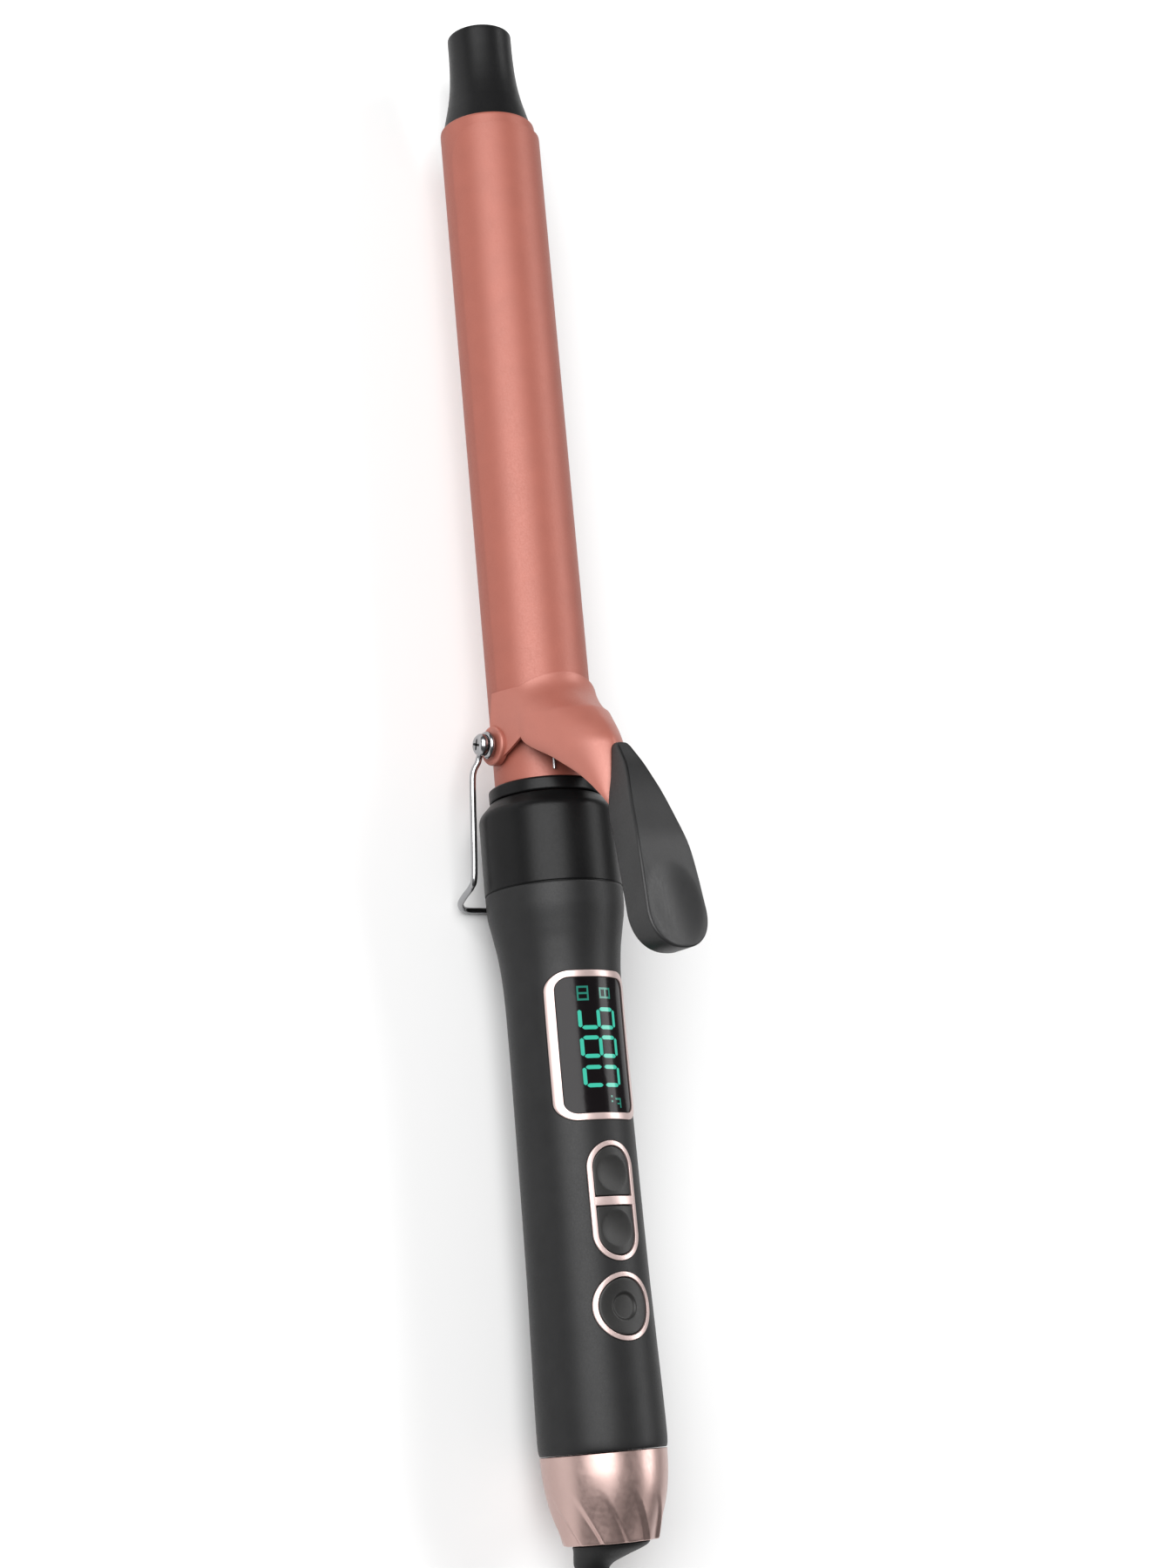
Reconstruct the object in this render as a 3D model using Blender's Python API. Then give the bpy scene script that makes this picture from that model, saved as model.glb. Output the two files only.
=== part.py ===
"""Digital curling iron with a spring clamp, a thumb lever and a folding wire stand.

Lengths below are millimetres and become metres where a mesh is made. A station is a distance along
the barrel's axis from the front face of the collar ring, positive towards the cool tip. A side is
measured along Y and a height from the barrel's axis along Z. The iron lies along X with its tip at
+X and with its lever, display and buttons on top; the folded stand touches the surface at Z = 0.
"""

import math

import bmesh
import bpy
from mathutils import Vector

MM = 0.001
WELD = 1e-6
GAP = 0.3
SIDES = 36

# Stations of the main joints between pieces
TIP_END = 207.5
BARREL_FRONT = 180.0
BARREL_REAR = -22.0
CLAMP_FRONT = 176.5
CLAMP_REAR = 21.5
HINGE = 10.0
RING_REAR = -3.6
COLLAR_REAR = -27.0
SLEEVE_REAR = -163.4
CAP_REAR = -184.4
BOOT_REAR = -195.0
MIDDLE = (TIP_END + BOOT_REAR) / 2

# Barrel, clamp and collar
BARREL_RADIUS = 12.5
BARREL_WALL = 0.8
CLAMP_INNER = BARREL_RADIUS + 0.4
CLAMP_THICKNESS = 0.7
CLAMP_HALF_WRAP = math.radians(82)
CLAMP_CORNER = 9.0
TIP_RADIUS = 8.5
RING_RADIUS = 14.25
COLLAR_RADIUS = 17.3
COLLAR_INNER = 15.4

# Handle sleeve: (station, outer radius), joined by a smooth curve
SLEEVE_OUTLINE = [
    (COLLAR_REAR - GAP, 17.25),
    (-31.5, 17.15),
    (-37.5, 16.2),
    (-42.0, 15.4),
    (-48.0, 14.8),
    (-56.0, 14.5),
    (-67.0, 14.45),
    (-102.0, 14.65),
    (-122.0, 14.85),
    (-136.0, 15.15),
    (-155.0, 15.55),
    (-161.0, 15.6),
    (SLEEVE_REAR, 15.4),
]
SLEEVE_WALL = 1.8

# Display and controls on the handle; widths are seen from straight above
DISPLAY = (-85.8, -49.3)
DISPLAY_HALF_WIDTH = 11.6
DISPLAY_BAND = 1.8
DISPLAY_CORNER = 4.6
CAPSULE = (-119.6, -90.9)
CAPSULE_HALF_WIDTH = 6.5
CAPSULE_BAND = 1.4
CROSSBAR_STATION = -105.3
CROSSBAR = 2.1
POWER_STATION = -130.3
POWER_RADIUS = 8.1
POWER_BAND = 1.4
BEZEL_PROUD = 0.35
BEZEL_DEPTH = 2.2
BUTTON_BOTTOM = 8.9
BUTTON_TRAVEL = 0.6

# Electronics inside the handle
BOARD_BOTTOM = 2.0
BOARD_THICKNESS = 1.6
BOARD_HALF_WIDTH = 9.5
BOARD = (-146.0, -46.0)
BOARD_TOP = BOARD_BOTTOM + BOARD_THICKNESS

# Hinge of the clamp and the stand, along Y through the barrel's axis
EAR_INNER = 13.0
EAR_OUTER = 15.0
EAR_RADIUS = 5.0
PIN_RADIUS = 1.5
PIN_HOLE = PIN_RADIUS + GAP
EYE_SIDE = 16.4
HEAD_INNER = 17.6
HEAD_OUTER = 19.4
HEAD_RADIUS = 2.8

# Wire stand, folded back under the collar
WIRE_RADIUS = 0.8
EYE_RADIUS = 2.7
STAND_DROP = 19.3
STAND_REAR = -28.0
LEG_SIDE = 18.75
AXIS_HEIGHT = STAND_DROP + WIRE_RADIUS

# Stamped bracket: ridge height, knee side and knee height by station
SHEET = 0.9
RIDGE = [
    (26.3, 14.8),
    (23.5, 16.6),
    (18.0, 21.6),
    (13.0, 26.2),
    (8.5, 29.7),
    (4.0, 31.9),
    (-4.0, 32.9),
    (-13.3, 33.1),
]
KNEE = [
    (26.3, 11.3, 9.5),
    (18.0, 13.0, 9.8),
    (9.8, 12.8, 10.3),
    (2.0, 9.2, 19.5),
    (-3.5, 6.4, 25.6),
    (-9.0, 4.2, 29.8),
    (-13.3, 2.6, 32.2),
]
KNEE_SIDE = [(station, side) for station, side, _ in KNEE]
KNEE_HEIGHT = [(station, height) for station, _, height in KNEE]
CREASE_TOP = 26.3
CREASE_DIP = 3.3
NOTCH = 9.8
ARM_END = -13.3
SIDE_SPREAD = 14.9
KNEE_ANGLE = math.radians(50)

# Thumb lever: top height, underside height and half width by station
LEVER_FRONT = 3.0
LEVER_END_HALF = 8.7
LEVER_END_LENGTH = 9.4
LEVER_END_CENTRE = -41.6
LEVER_REAR = LEVER_END_CENTRE - LEVER_END_LENGTH
LEVER_EDGE = 0.9
LEVER_TOP = [
    (LEVER_FRONT, 35.0),
    (-4.7, 40.2),
    (-16.7, 45.2),
    (-25.7, 48.3),
    (LEVER_END_CENTRE, 51.0),
    (LEVER_REAR, 52.3),
]
LEVER_BOTTOM = [
    (LEVER_FRONT, 33.0),
    (-4.0, 33.5),
    (-13.8, 34.3),
    (-25.2, 38.7),
    (LEVER_END_CENTRE, 42.3),
    (LEVER_REAR, 44.2),
]
LEVER_HALF = [
    (LEVER_FRONT, 1.8),
    (-4.7, 3.3),
    (-11.2, 5.0),
    (-18.2, 6.4),
    (-27.2, 7.8),
    (LEVER_END_CENTRE, LEVER_END_HALF),
]
LEVER_SCREWS = {"lever_screw_front": -3.0, "lever_screw_rear": -9.5}
DISH_STATION = -39.0
DISH_DEPTH = 1.0
DISH_LENGTH = 12.0
DISH_HALF_WIDTH = 7.6

# Clamp spring and the saddle that carries it
SPRING_STATION = 12.5
SPRING_HEIGHT = 15.0
COIL_RADIUS = 1.6
SPRING_WIRE = 0.45

# Cord swivel at the rear end
BOOT_RADIUS = 9.3
OUTLET_RADIUS = 4.2
OUTLET_BORE = 3.1
OUTLET_OFFSET = 5.0
OUTLET_DIRECTION = math.radians(-35)
HUB_RADIUS = 4.6
HUB_BORE = 2.4
HUB_FRONT = -172.0
BOOT_SIDES = 28


def clear_scene():
    """An empty scene to build in."""
    for thing in list(bpy.data.objects):
        bpy.data.objects.remove(thing)


def material(name, colour, roughness, metallic=0.0):
    """A plain finish for one kind of piece."""
    made = bpy.data.materials.new(name)
    made.use_nodes = True
    shader = made.node_tree.nodes["Principled BSDF"]
    shader.inputs["Base Color"].default_value = (*colour, 1.0)
    shader.inputs["Roughness"].default_value = roughness
    shader.inputs["Metallic"].default_value = metallic
    made.diffuse_color = (*colour, 1.0)
    return made


def finishes():
    """Every finish that the pieces share, by name."""
    return {
        "rose_gold": material("rose_gold", (0.62, 0.26, 0.20), 0.42, 0.85),
        "rose_chrome": material("rose_chrome", (0.80, 0.58, 0.53), 0.12, 1.0),
        "satin_black": material("satin_black", (0.035, 0.035, 0.037), 0.45),
        "soft_black": material("soft_black", (0.030, 0.030, 0.031), 0.62),
        "display_glass": material("display_glass", (0.01, 0.01, 0.012), 0.06),
        "chrome": material("chrome", (0.80, 0.80, 0.80), 0.10, 1.0),
        "aluminium": material("aluminium", (0.70, 0.70, 0.72), 0.40, 1.0),
        "ceramic": material("ceramic", (0.85, 0.83, 0.78), 0.50),
        "board": material("board", (0.02, 0.17, 0.07), 0.50),
        "brass": material("brass", (0.72, 0.52, 0.20), 0.30, 1.0),
        "frame_plastic": material("frame_plastic", (0.10, 0.10, 0.10), 0.60),
        "wire_sleeve": material("wire_sleeve", (0.75, 0.72, 0.66), 0.70),
    }


def place(station, side, height):
    """World position in metres of a point given in the iron's own measures."""
    return Vector(((station - MIDDLE) * MM, side * MM, (AXIS_HEIGHT + height) * MM))


def curve_value(points, at):
    """Smooth value at a station, through (station, value) pairs in order, without overshoot."""
    points = sorted(points)
    if at <= points[0][0]:
        return points[0][1]
    if at >= points[-1][0]:
        return points[-1][1]
    slopes = [(b[1] - a[1]) / (b[0] - a[0]) for a, b in zip(points, points[1:])]
    tangents = [slopes[0]]
    for before, after in zip(slopes, slopes[1:]):
        same_way = before * after > 0
        tangents.append(2 * before * after / (before + after) if same_way else 0.0)
    tangents.append(slopes[-1])
    i = max(k for k in range(len(slopes)) if points[k][0] <= at)
    (x0, y0), (x1, y1) = points[i], points[i + 1]
    span = x1 - x0
    t = (at - x0) / span
    rise = (3 - 2 * t) * t * t
    start = t * (1 - t) ** 2 * span * tangents[i]
    end = t * t * (t - 1) * span * tangents[i + 1]
    return y0 + (y1 - y0) * rise + start + end


def sleeve_radius(station):
    """Outer radius of the handle sleeve."""
    return curve_value(SLEEVE_OUTLINE, station)


def spaced(start, end, steps):
    """Evenly spaced values, both ends included."""
    return [start + (end - start) * i / steps for i in range(steps + 1)]


def to_object(name, bm, finish):
    """Turns a bmesh into a named object with its finish."""
    bmesh.ops.recalc_face_normals(bm, faces=bm.faces)
    mesh = bpy.data.meshes.new(name)
    bm.to_mesh(mesh)
    bm.free()
    mesh.shade_smooth()
    mesh.set_sharp_from_angle(angle=math.radians(35))
    made = bpy.data.objects.new(name, mesh)
    bpy.context.scene.collection.objects.link(made)
    if finish is not None:
        mesh.materials.append(finish)
    return made


def turned(name, outline, finish, centre=(0.0, 0.0, 0.0), axis=(1, 0, 0), sides=SIDES):
    """A solid turned about an axis. The outline is (distance along the axis, radius) pairs.

    An outline that keeps clear of the axis is closed into a ring; one that starts and ends on the
    axis is solid.
    """
    bm = bmesh.new()
    along = Vector(axis)
    out = Vector((0, 0, 1)) if abs(along.z) < 0.5 else Vector((1, 0, 0))
    middle = Vector(centre)
    verts = [bm.verts.new(place(*(middle + along * a + out * r))) for a, r in outline]
    pairs = list(zip(verts, verts[1:]))
    if min(r for _, r in outline) > 0:
        pairs.append((verts[-1], verts[0]))
    edges = [bm.edges.new(pair) for pair in pairs]
    bmesh.ops.spin(
        bm, geom=verts + edges, cent=place(*centre), axis=along, angle=2 * math.pi, steps=sides
    )
    bmesh.ops.remove_doubles(bm, verts=bm.verts, dist=WELD)
    return to_object(name, bm, finish)


def disc(name, radius, start, end, finish, centre=(0.0, 0.0, 0.0), axis=(1, 0, 0), sides=24):
    """A plain round bar between two distances along an axis."""
    outline = [(start, 0.0), (start, radius), (end, radius), (end, 0.0)]
    return turned(name, outline, finish, centre, axis, sides)


def prism(name, outline, low, high, finish=None):
    """An outline of (station, side) points extruded between two heights."""
    bm = bmesh.new()
    rings = [[bm.verts.new(place(s, y, z)) for s, y in outline] for z in (low, high)]
    bm.faces.new(rings[0])
    bm.faces.new(rings[1])
    bmesh.ops.bridge_loops(bm, edges=boundary_edges(rings))
    return to_object(name, bm, finish)


def boundary_edges(rings):
    """The edges round each closed ring of vertices."""
    found = []
    for ring in rings:
        for a, b in zip(ring, ring[1:] + ring[:1]):
            found.append(next(e for e in a.link_edges if e.other_vert(a) == b))
    return found


def block(name, stations, half_width, heights, finish=None, side=0.0):
    """A rectangular block, given by its stations, half width and heights."""
    low, high = min(stations), max(stations)
    outline = [
        (low, side - half_width),
        (high, side - half_width),
        (high, side + half_width),
        (low, side + half_width),
    ]
    return prism(name, outline, min(heights), max(heights), finish)


def rounded(stations, half_width, corner, steps=6):
    """Outline of a rounded rectangle seen from above."""
    low, high = min(stations), max(stations)
    centres = [
        (high - corner, half_width - corner, 0),
        (low + corner, half_width - corner, 90),
        (low + corner, corner - half_width, 180),
        (high - corner, corner - half_width, 270),
    ]
    points = []
    for s, y, first in centres:
        for turn in spaced(first, first + 90, steps):
            angle = math.radians(turn)
            points.append((s + corner * math.cos(angle), y + corner * math.sin(angle)))
    return distinct(points)


def distinct(points):
    """The points of a closed outline without repeats."""
    kept = []
    for p in points:
        if not kept or math.dist(p, kept[-1]) > 1e-4:
            kept.append(p)
    if math.dist(kept[0], kept[-1]) < 1e-4:
        kept.pop()
    return kept


def ring_about(station, radius, steps=28):
    """Outline of a circle seen from above."""
    turns = [2 * math.pi * i / steps for i in range(steps)]
    return [(station + radius * math.cos(a), radius * math.sin(a)) for a in turns]


def combine(body, other, operation):
    """Cuts, joins or trims a body with another shape, which is then only a guide."""
    other.hide_render = True
    other.display_type = "WIRE"
    modifier = body.modifiers.new(operation.title(), "BOOLEAN")
    modifier.operation = operation
    modifier.solver = "EXACT"
    modifier.object = other
    return body


def cut(body, *others):
    for other in others:
        combine(body, other, "DIFFERENCE")
    return body


def join(body, *others):
    for other in others:
        combine(body, other, "UNION")
    return body


def wire(name, points, radius, finish, roundness=2):
    """A round wire through points given as (station, side, height)."""
    curve = bpy.data.curves.new(name, "CURVE")
    curve.dimensions = "3D"
    curve.bevel_depth = radius * MM
    curve.bevel_resolution = roundness
    curve.use_fill_caps = True
    spline = curve.splines.new("POLY")
    spline.points.add(len(points) - 1)
    for point, where in zip(spline.points, points):
        point.co = (*place(*where), 1.0)
    curve.materials.append(finish)
    made = bpy.data.objects.new(name, curve)
    bpy.context.scene.collection.objects.link(made)
    return made


def smooth_path(points, steps=3):
    """A smooth line through points, as a finer list of points."""
    ends = [Vector(p) for p in points]
    ends = [2 * ends[0] - ends[1], *ends, 2 * ends[-1] - ends[-2]]
    line = []
    for a, b, c, d in zip(ends, ends[1:], ends[2:], ends[3:]):
        for t in spaced(0, 1, steps)[:-1]:
            line.append(
                b
                + (c - a) * (t / 2)
                + (2 * a - 5 * b + 4 * c - d) * (t * t / 2)
                + (3 * b - a - 3 * c + d) * (t * t * t / 2)
            )
    return [tuple(p) for p in line] + [tuple(points[-1])]


def pivot(name, where, *riders):
    """An empty on a joint's axis that carries the pieces moving with it."""
    made = bpy.data.objects.new(name, None)
    made.location = place(*where)
    bpy.context.scene.collection.objects.link(made)
    bpy.context.view_layer.update()
    for rider in riders:
        rider.parent = made
        rider.matrix_parent_inverse = made.matrix_world.inverted()
    return made


# ------------------------------------------------------------------ barrel and heater


def build_barrel(look):
    """Barrel tube, cool tip and the heater stack inside."""
    inner = BARREL_RADIUS - BARREL_WALL
    tube_outline = [
        (BARREL_REAR, BARREL_RADIUS),
        (BARREL_FRONT - 0.9, BARREL_RADIUS),
        (BARREL_FRONT - 0.25, BARREL_RADIUS - 0.25),
        (BARREL_FRONT, inner + 0.15),
        (BARREL_FRONT, inner),
        (BARREL_REAR, inner),
    ]
    tube = turned("barrel_tube", tube_outline, look["rose_gold"])
    cut(tube, disc("barrel_pin_cut", PIN_HOLE, -20, 20, None, (HINGE, 0, 0), (0, 1, 0), 16))

    tip_outline = [
        (TIP_END, 0.0),
        (TIP_END, TIP_RADIUS - 1.3),
        (TIP_END - 0.4, TIP_RADIUS - 0.4),
        (TIP_END - 1.3, TIP_RADIUS),
    ]
    flare = [(198.0, TIP_RADIUS + 0.1), (193.0, 8.95), (188.0, 9.75), (184.0, 10.7), (180.3, 11.6)]
    tip_outline += flare
    tip_outline += [(BARREL_FRONT + GAP, inner - GAP), (170.0, inner - GAP), (170.0, 9.0)]
    tip_outline += [(176.0, 8.0), (176.0, 0.0)]
    turned("cool_tip", tip_outline, look["satin_black"])

    disc("tip_insulator", inner - GAP, 163.0, 166.0, look["ceramic"], sides=SIDES)
    build_heater(look, inner - GAP)
    build_holder(look, inner - GAP)


def build_heater(look, radius):
    """Two half-round aluminium carriers pressing on a ceramic heating plate."""
    rear, front = 22.0, 160.0
    for name, way in (("heater_carrier_upper", 1), ("heater_carrier_lower", -1)):
        carrier = disc(name, radius, rear, front, look["aluminium"])
        below = sorted((way * 1.5, -way * 20.0))
        cut(carrier, block(name + "_cut", (rear - 5, front + 5), 20, below))
    block("heater_plate", (24.0, 150.0), 7.5, (-1.2, 1.2), look["ceramic"])
    sensor = [(17.6, 0.0), (17.9, 0.9), (18.6, 1.3), (20.6, 1.3), (21.4, 0.8), (21.6, 0.0)]
    turned("temperature_sensor", sensor, look["ceramic"], (0, 0, 4.5), sides=12)


def build_holder(look, radius):
    """Heat-proof bush that carries the barrel, takes the hinge screws and lets the wires through."""
    outline = [
        (16.0, 3.6),
        (16.0, radius),
        (BARREL_REAR - GAP, radius),
        (BARREL_REAR - GAP, COLLAR_INNER - GAP),
        (-25.0, COLLAR_INNER - GAP),
        (-25.0, 3.6),
    ]
    holder = turned("barrel_holder", outline, look["ceramic"])
    cut(holder, disc("holder_pin_cut", PIN_HOLE, -20, 20, None, (HINGE, 0, 0), (0, 1, 0), 16))


# ------------------------------------------------------------------ handle


def build_collar(look):
    """Front ring and collar, which cover the root of the barrel."""
    ring_outline = [
        (0.0, BARREL_RADIUS + GAP),
        (0.0, RING_RADIUS - 0.5),
        (-0.5, RING_RADIUS),
        (RING_REAR + 0.3, RING_RADIUS),
        (RING_REAR, RING_RADIUS - 0.3),
        (RING_REAR, BARREL_RADIUS + GAP),
    ]
    turned("collar_ring", ring_outline, look["satin_black"])
    collar_outline = [
        (RING_REAR - GAP, BARREL_RADIUS + GAP),
        (RING_REAR - GAP, RING_RADIUS - 0.2),
        (-4.3, RING_RADIUS + 0.2),
        (-6.9, COLLAR_RADIUS - 0.5),
        (-7.9, COLLAR_RADIUS),
        (COLLAR_REAR, COLLAR_RADIUS),
        (COLLAR_REAR, COLLAR_INNER),
        (-9.0, COLLAR_INNER),
        (-7.0, BARREL_RADIUS + GAP),
    ]
    turned("collar", collar_outline, look["satin_black"])


def sleeve_shell(name, stations, outer, inner, finish=None, steps=2):
    """A turned shell that follows the sleeve's surface, offset outwards and inwards from it."""
    low, high = min(stations), max(stations)
    outline = [(s, sleeve_radius(s) + outer) for s in spaced(high, low, steps)]
    outline += [(s, sleeve_radius(s) - inner) for s in spaced(low, high, steps)]
    return turned(name, outline, finish)


def build_sleeve(look):
    """Soft-touch handle sleeve with its display and control openings."""
    stations = [COLLAR_REAR - GAP, -31.5, -34.5, -37.5, -40.0, -43.0, -47.0, -52.0, -60.0]
    stations += [-86.0, -105.0, -122.0, -136.0, -150.0, SLEEVE_REAR]
    outline = [(s, sleeve_radius(s)) for s in stations]
    inside = [SLEEVE_REAR, -136.0, -86.0, -52.0, -43.0, -34.5, COLLAR_REAR - GAP]
    outline += [(s, sleeve_radius(s) - SLEEVE_WALL) for s in inside]
    sleeve = turned("handle_sleeve", outline, look["soft_black"])
    openings = {
        "display": rounded(wider(DISPLAY), DISPLAY_HALF_WIDTH + GAP, DISPLAY_CORNER + GAP),
        "capsule": rounded(wider(CAPSULE), CAPSULE_HALF_WIDTH + GAP, CAPSULE_HALF_WIDTH),
        "power": ring_about(POWER_STATION, POWER_RADIUS + GAP),
    }
    for name, opening in openings.items():
        cut(sleeve, prism(f"sleeve_{name}_cut", opening, 1.0, 25.0))


def wider(stations, by=GAP):
    """A stretch of stations made longer at both ends."""
    return (min(stations) - by, max(stations) + by)


def bezel(name, outer, holes, stations, look):
    """A rose metal frame that follows the sleeve, given by its outline and its openings."""
    made = sleeve_shell(name, stations, BEZEL_PROUD, BEZEL_DEPTH, look["rose_chrome"])
    combine(made, prism(name + "_trim", outer, 0.0, 30.0), "INTERSECT")
    for i, hole in enumerate(holes):
        cut(made, prism(f"{name}_hole_{i}", hole, -1.0, 31.0))
    return made


def narrower(stations, by):
    """A stretch of stations made shorter at both ends."""
    return (min(stations) + by, max(stations) - by)


def build_display(look):
    """Display frame, its dark window and the display module under it."""
    outer = rounded(DISPLAY, DISPLAY_HALF_WIDTH, DISPLAY_CORNER)
    inner_stations = narrower(DISPLAY, DISPLAY_BAND)
    half = DISPLAY_HALF_WIDTH - DISPLAY_BAND
    inner = rounded(inner_stations, half, DISPLAY_CORNER - DISPLAY_BAND)
    bezel("display_bezel", outer, [inner], wider(DISPLAY, 4), look)
    window = sleeve_shell("display_window", wider(DISPLAY, 4), 0.0, 1.5, look["display_glass"])
    pane = rounded(narrower(inner_stations, GAP), half - GAP, 2.4)
    combine(window, prism("display_window_trim", pane, 0.0, 30.0), "INTERSECT")
    block("display_module", (-83.0, -52.5), 7.0, (BOARD_TOP + GAP, 9.6), look["frame_plastic"])


def half_capsule(front, margin=0.0):
    """Outline of half of the temperature capsule: straight at the crossbar, round at its end."""
    way = 1 if front else -1
    half = CAPSULE_HALF_WIDTH - CAPSULE_BAND - margin
    ends = narrower(CAPSULE, CAPSULE_BAND + margin)
    centre = max(ends) - half if front else min(ends) + half
    edge = CROSSBAR_STATION + way * (CROSSBAR / 2 + margin)
    turns = [math.radians(a) for a in spaced(-90, 90, 12)]
    arc = [(centre + way * half * math.cos(a), half * math.sin(a)) for a in turns]
    return [(edge, -half), *arc, (edge, half)]


def button(name, outline, stations, centre, look):
    """A push button that follows the sleeve, with a stem down to its switch."""
    made = sleeve_shell(name, stations, 0.1, 3.4, look["soft_black"])
    combine(made, prism(name + "_trim", outline, 0.0, 30.0), "INTERSECT")
    stem = disc(name + "_stem", 1.8, BUTTON_BOTTOM, 12.4, None, (centre, 0, 0), (0, 0, 1), 16)
    join(made, stem)
    pivot(name + "_axis", (centre, 0, BUTTON_BOTTOM), made)
    return made


def build_controls(look):
    """Temperature buttons in their capsule frame, the power button in its ring, and the switches."""
    capsule = rounded(CAPSULE, CAPSULE_HALF_WIDTH, CAPSULE_HALF_WIDTH - 0.01, steps=8)
    halves = [half_capsule(True), half_capsule(False)]
    bezel("temperature_bezel", capsule, halves, wider(CAPSULE, 4), look)
    power_area = (POWER_STATION - POWER_RADIUS - 4, POWER_STATION + POWER_RADIUS + 4)
    opening = POWER_RADIUS - POWER_BAND
    ring = ring_about(POWER_STATION, POWER_RADIUS)
    bezel("power_bezel", ring, [ring_about(POWER_STATION, opening)], power_area, look)

    front_centre = (max(CAPSULE) - CAPSULE_BAND + CROSSBAR_STATION) / 2
    rear_centre = (min(CAPSULE) + CAPSULE_BAND + CROSSBAR_STATION) / 2
    button("plus_button", half_capsule(True, GAP), wider(CAPSULE, 4), front_centre, look)
    button("minus_button", half_capsule(False, GAP), wider(CAPSULE, 4), rear_centre, look)
    face = ring_about(POWER_STATION, opening - GAP)
    button("power_button", face, power_area, POWER_STATION, look)
    places = {"plus": front_centre, "minus": rear_centre, "power": POWER_STATION}
    for name, station in places.items():
        build_switch(f"{name}_switch", station, look)


def build_switch(name, station, look):
    """Square tact switch with a round plunger, just under its button's stem."""
    low = BOARD_TOP + GAP
    body = block(name, (station - 3, station + 3), 3.0, (low, low + 3.2), look["frame_plastic"])
    top = BUTTON_BOTTOM - BUTTON_TRAVEL - 0.15
    join(body, disc(name + "_plunger", 1.6, low + 3.0, top, None, (station, 0, 0), (0, 0, 1), 16))


def build_electronics(look):
    """Inner tray, circuit board, its parts and screws, and the leads to the heater."""
    tray_outline = [(-150.0, 12.0), (-34.0, 12.0), (-34.0, 10.6), (-150.0, 10.6)]
    tray = turned("inner_tray", tray_outline, look["frame_plastic"])
    cut(tray, block("tray_top_cut", (-160.0, -20.0), 20.0, (BOARD_BOTTOM - GAP - 0.2, 20.0)))
    for station in (-49.0, -140.0):
        post = block(f"tray_bridge_{-station:.0f}", (station - 3, station + 3), 11.2, (-3.5, 1.4))
        join(tray, post)
        hole = disc(f"tray_hole_{-station:.0f}", 1.1, -6.0, 4.0, None, (station, 6, 0), (0, 0, 1), 12)
        cut(tray, hole)

    board = block("circuit_board", BOARD, BOARD_HALF_WIDTH, (BOARD_BOTTOM, BOARD_TOP), look["board"])
    for name, station in (("board_screw_front", -49.0), ("board_screw_rear", -140.0)):
        spot = (station, 6, 0)
        cut(board, disc(name + "_cut", 1.1, 1.0, 5.0, None, spot, (0, 0, 1), 12))
        head = [(BOARD_TOP + 1.2, 0.0), (BOARD_TOP + 1.2, 1.3), (BOARD_TOP + 0.8, 1.7)]
        head += [(BOARD_TOP + GAP, 1.7), (BOARD_TOP + GAP, 0.8), (-2.5, 0.8), (-2.5, 0.0)]
        turned(name, head, look["chrome"], spot, (0, 0, 1), 12)
    low = BOARD_BOTTOM - GAP
    block("triac", (-76.0, -66.0), 5.0, (low - 4.2, low), look["frame_plastic"])
    block("capacitor", (-120.0, -106.0), 3.2, (low - 7.5, low), look["ceramic"])
    for name, side in (("heater_lead_left", 1.7), ("heater_lead_right", -1.7)):
        route = [(23.0, side, 0.0), (0.0, side, 0.0), (-24.0, side, 0.0), (-33.0, side, 0.4)]
        route += [(-40.0, side * 2, 1.2), (-45.0, side * 2.4, 2.8)]
        wire(name, route, 0.8, look["wire_sleeve"])


# ------------------------------------------------------------------ rear end


def build_rear(look):
    """End cap, swivel socket and the turning boot that the cord leaves by."""
    outline = [
        (SLEEVE_REAR - GAP, 15.3),
        (-168.0, 15.1),
        (-172.5, 14.55),
        (-177.0, 13.65),
        (-181.0, 12.55),
        (-183.8, 11.7),
        (CAP_REAR, 11.2),
        (CAP_REAR, HUB_RADIUS + GAP + 0.2),
        (CAP_REAR + 2.4, HUB_RADIUS + GAP + 0.2),
        (CAP_REAR + 2.4, 9.6),
        (-176.0, 12.0),
        (SLEEVE_REAR - GAP, 13.4),
    ]
    turned("end_cap", outline, look["rose_chrome"])
    socket = [
        (SLEEVE_REAR - 3.0, HUB_RADIUS + GAP),
        (SLEEVE_REAR - 3.0, 12.6),
        (-172.0, 12.2),
        (-173.5, 11.9),
        (-173.5, HUB_RADIUS + GAP),
    ]
    turned("swivel_socket", socket, look["frame_plastic"])
    contact = [
        (HUB_FRONT + 2.2, 1.2),
        (HUB_FRONT + 2.2, 3.6),
        (HUB_FRONT + GAP, 3.6),
        (HUB_FRONT + GAP, 1.2),
    ]
    turned("swivel_contact", contact, look["brass"], sides=20)
    build_boot(look)


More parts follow.
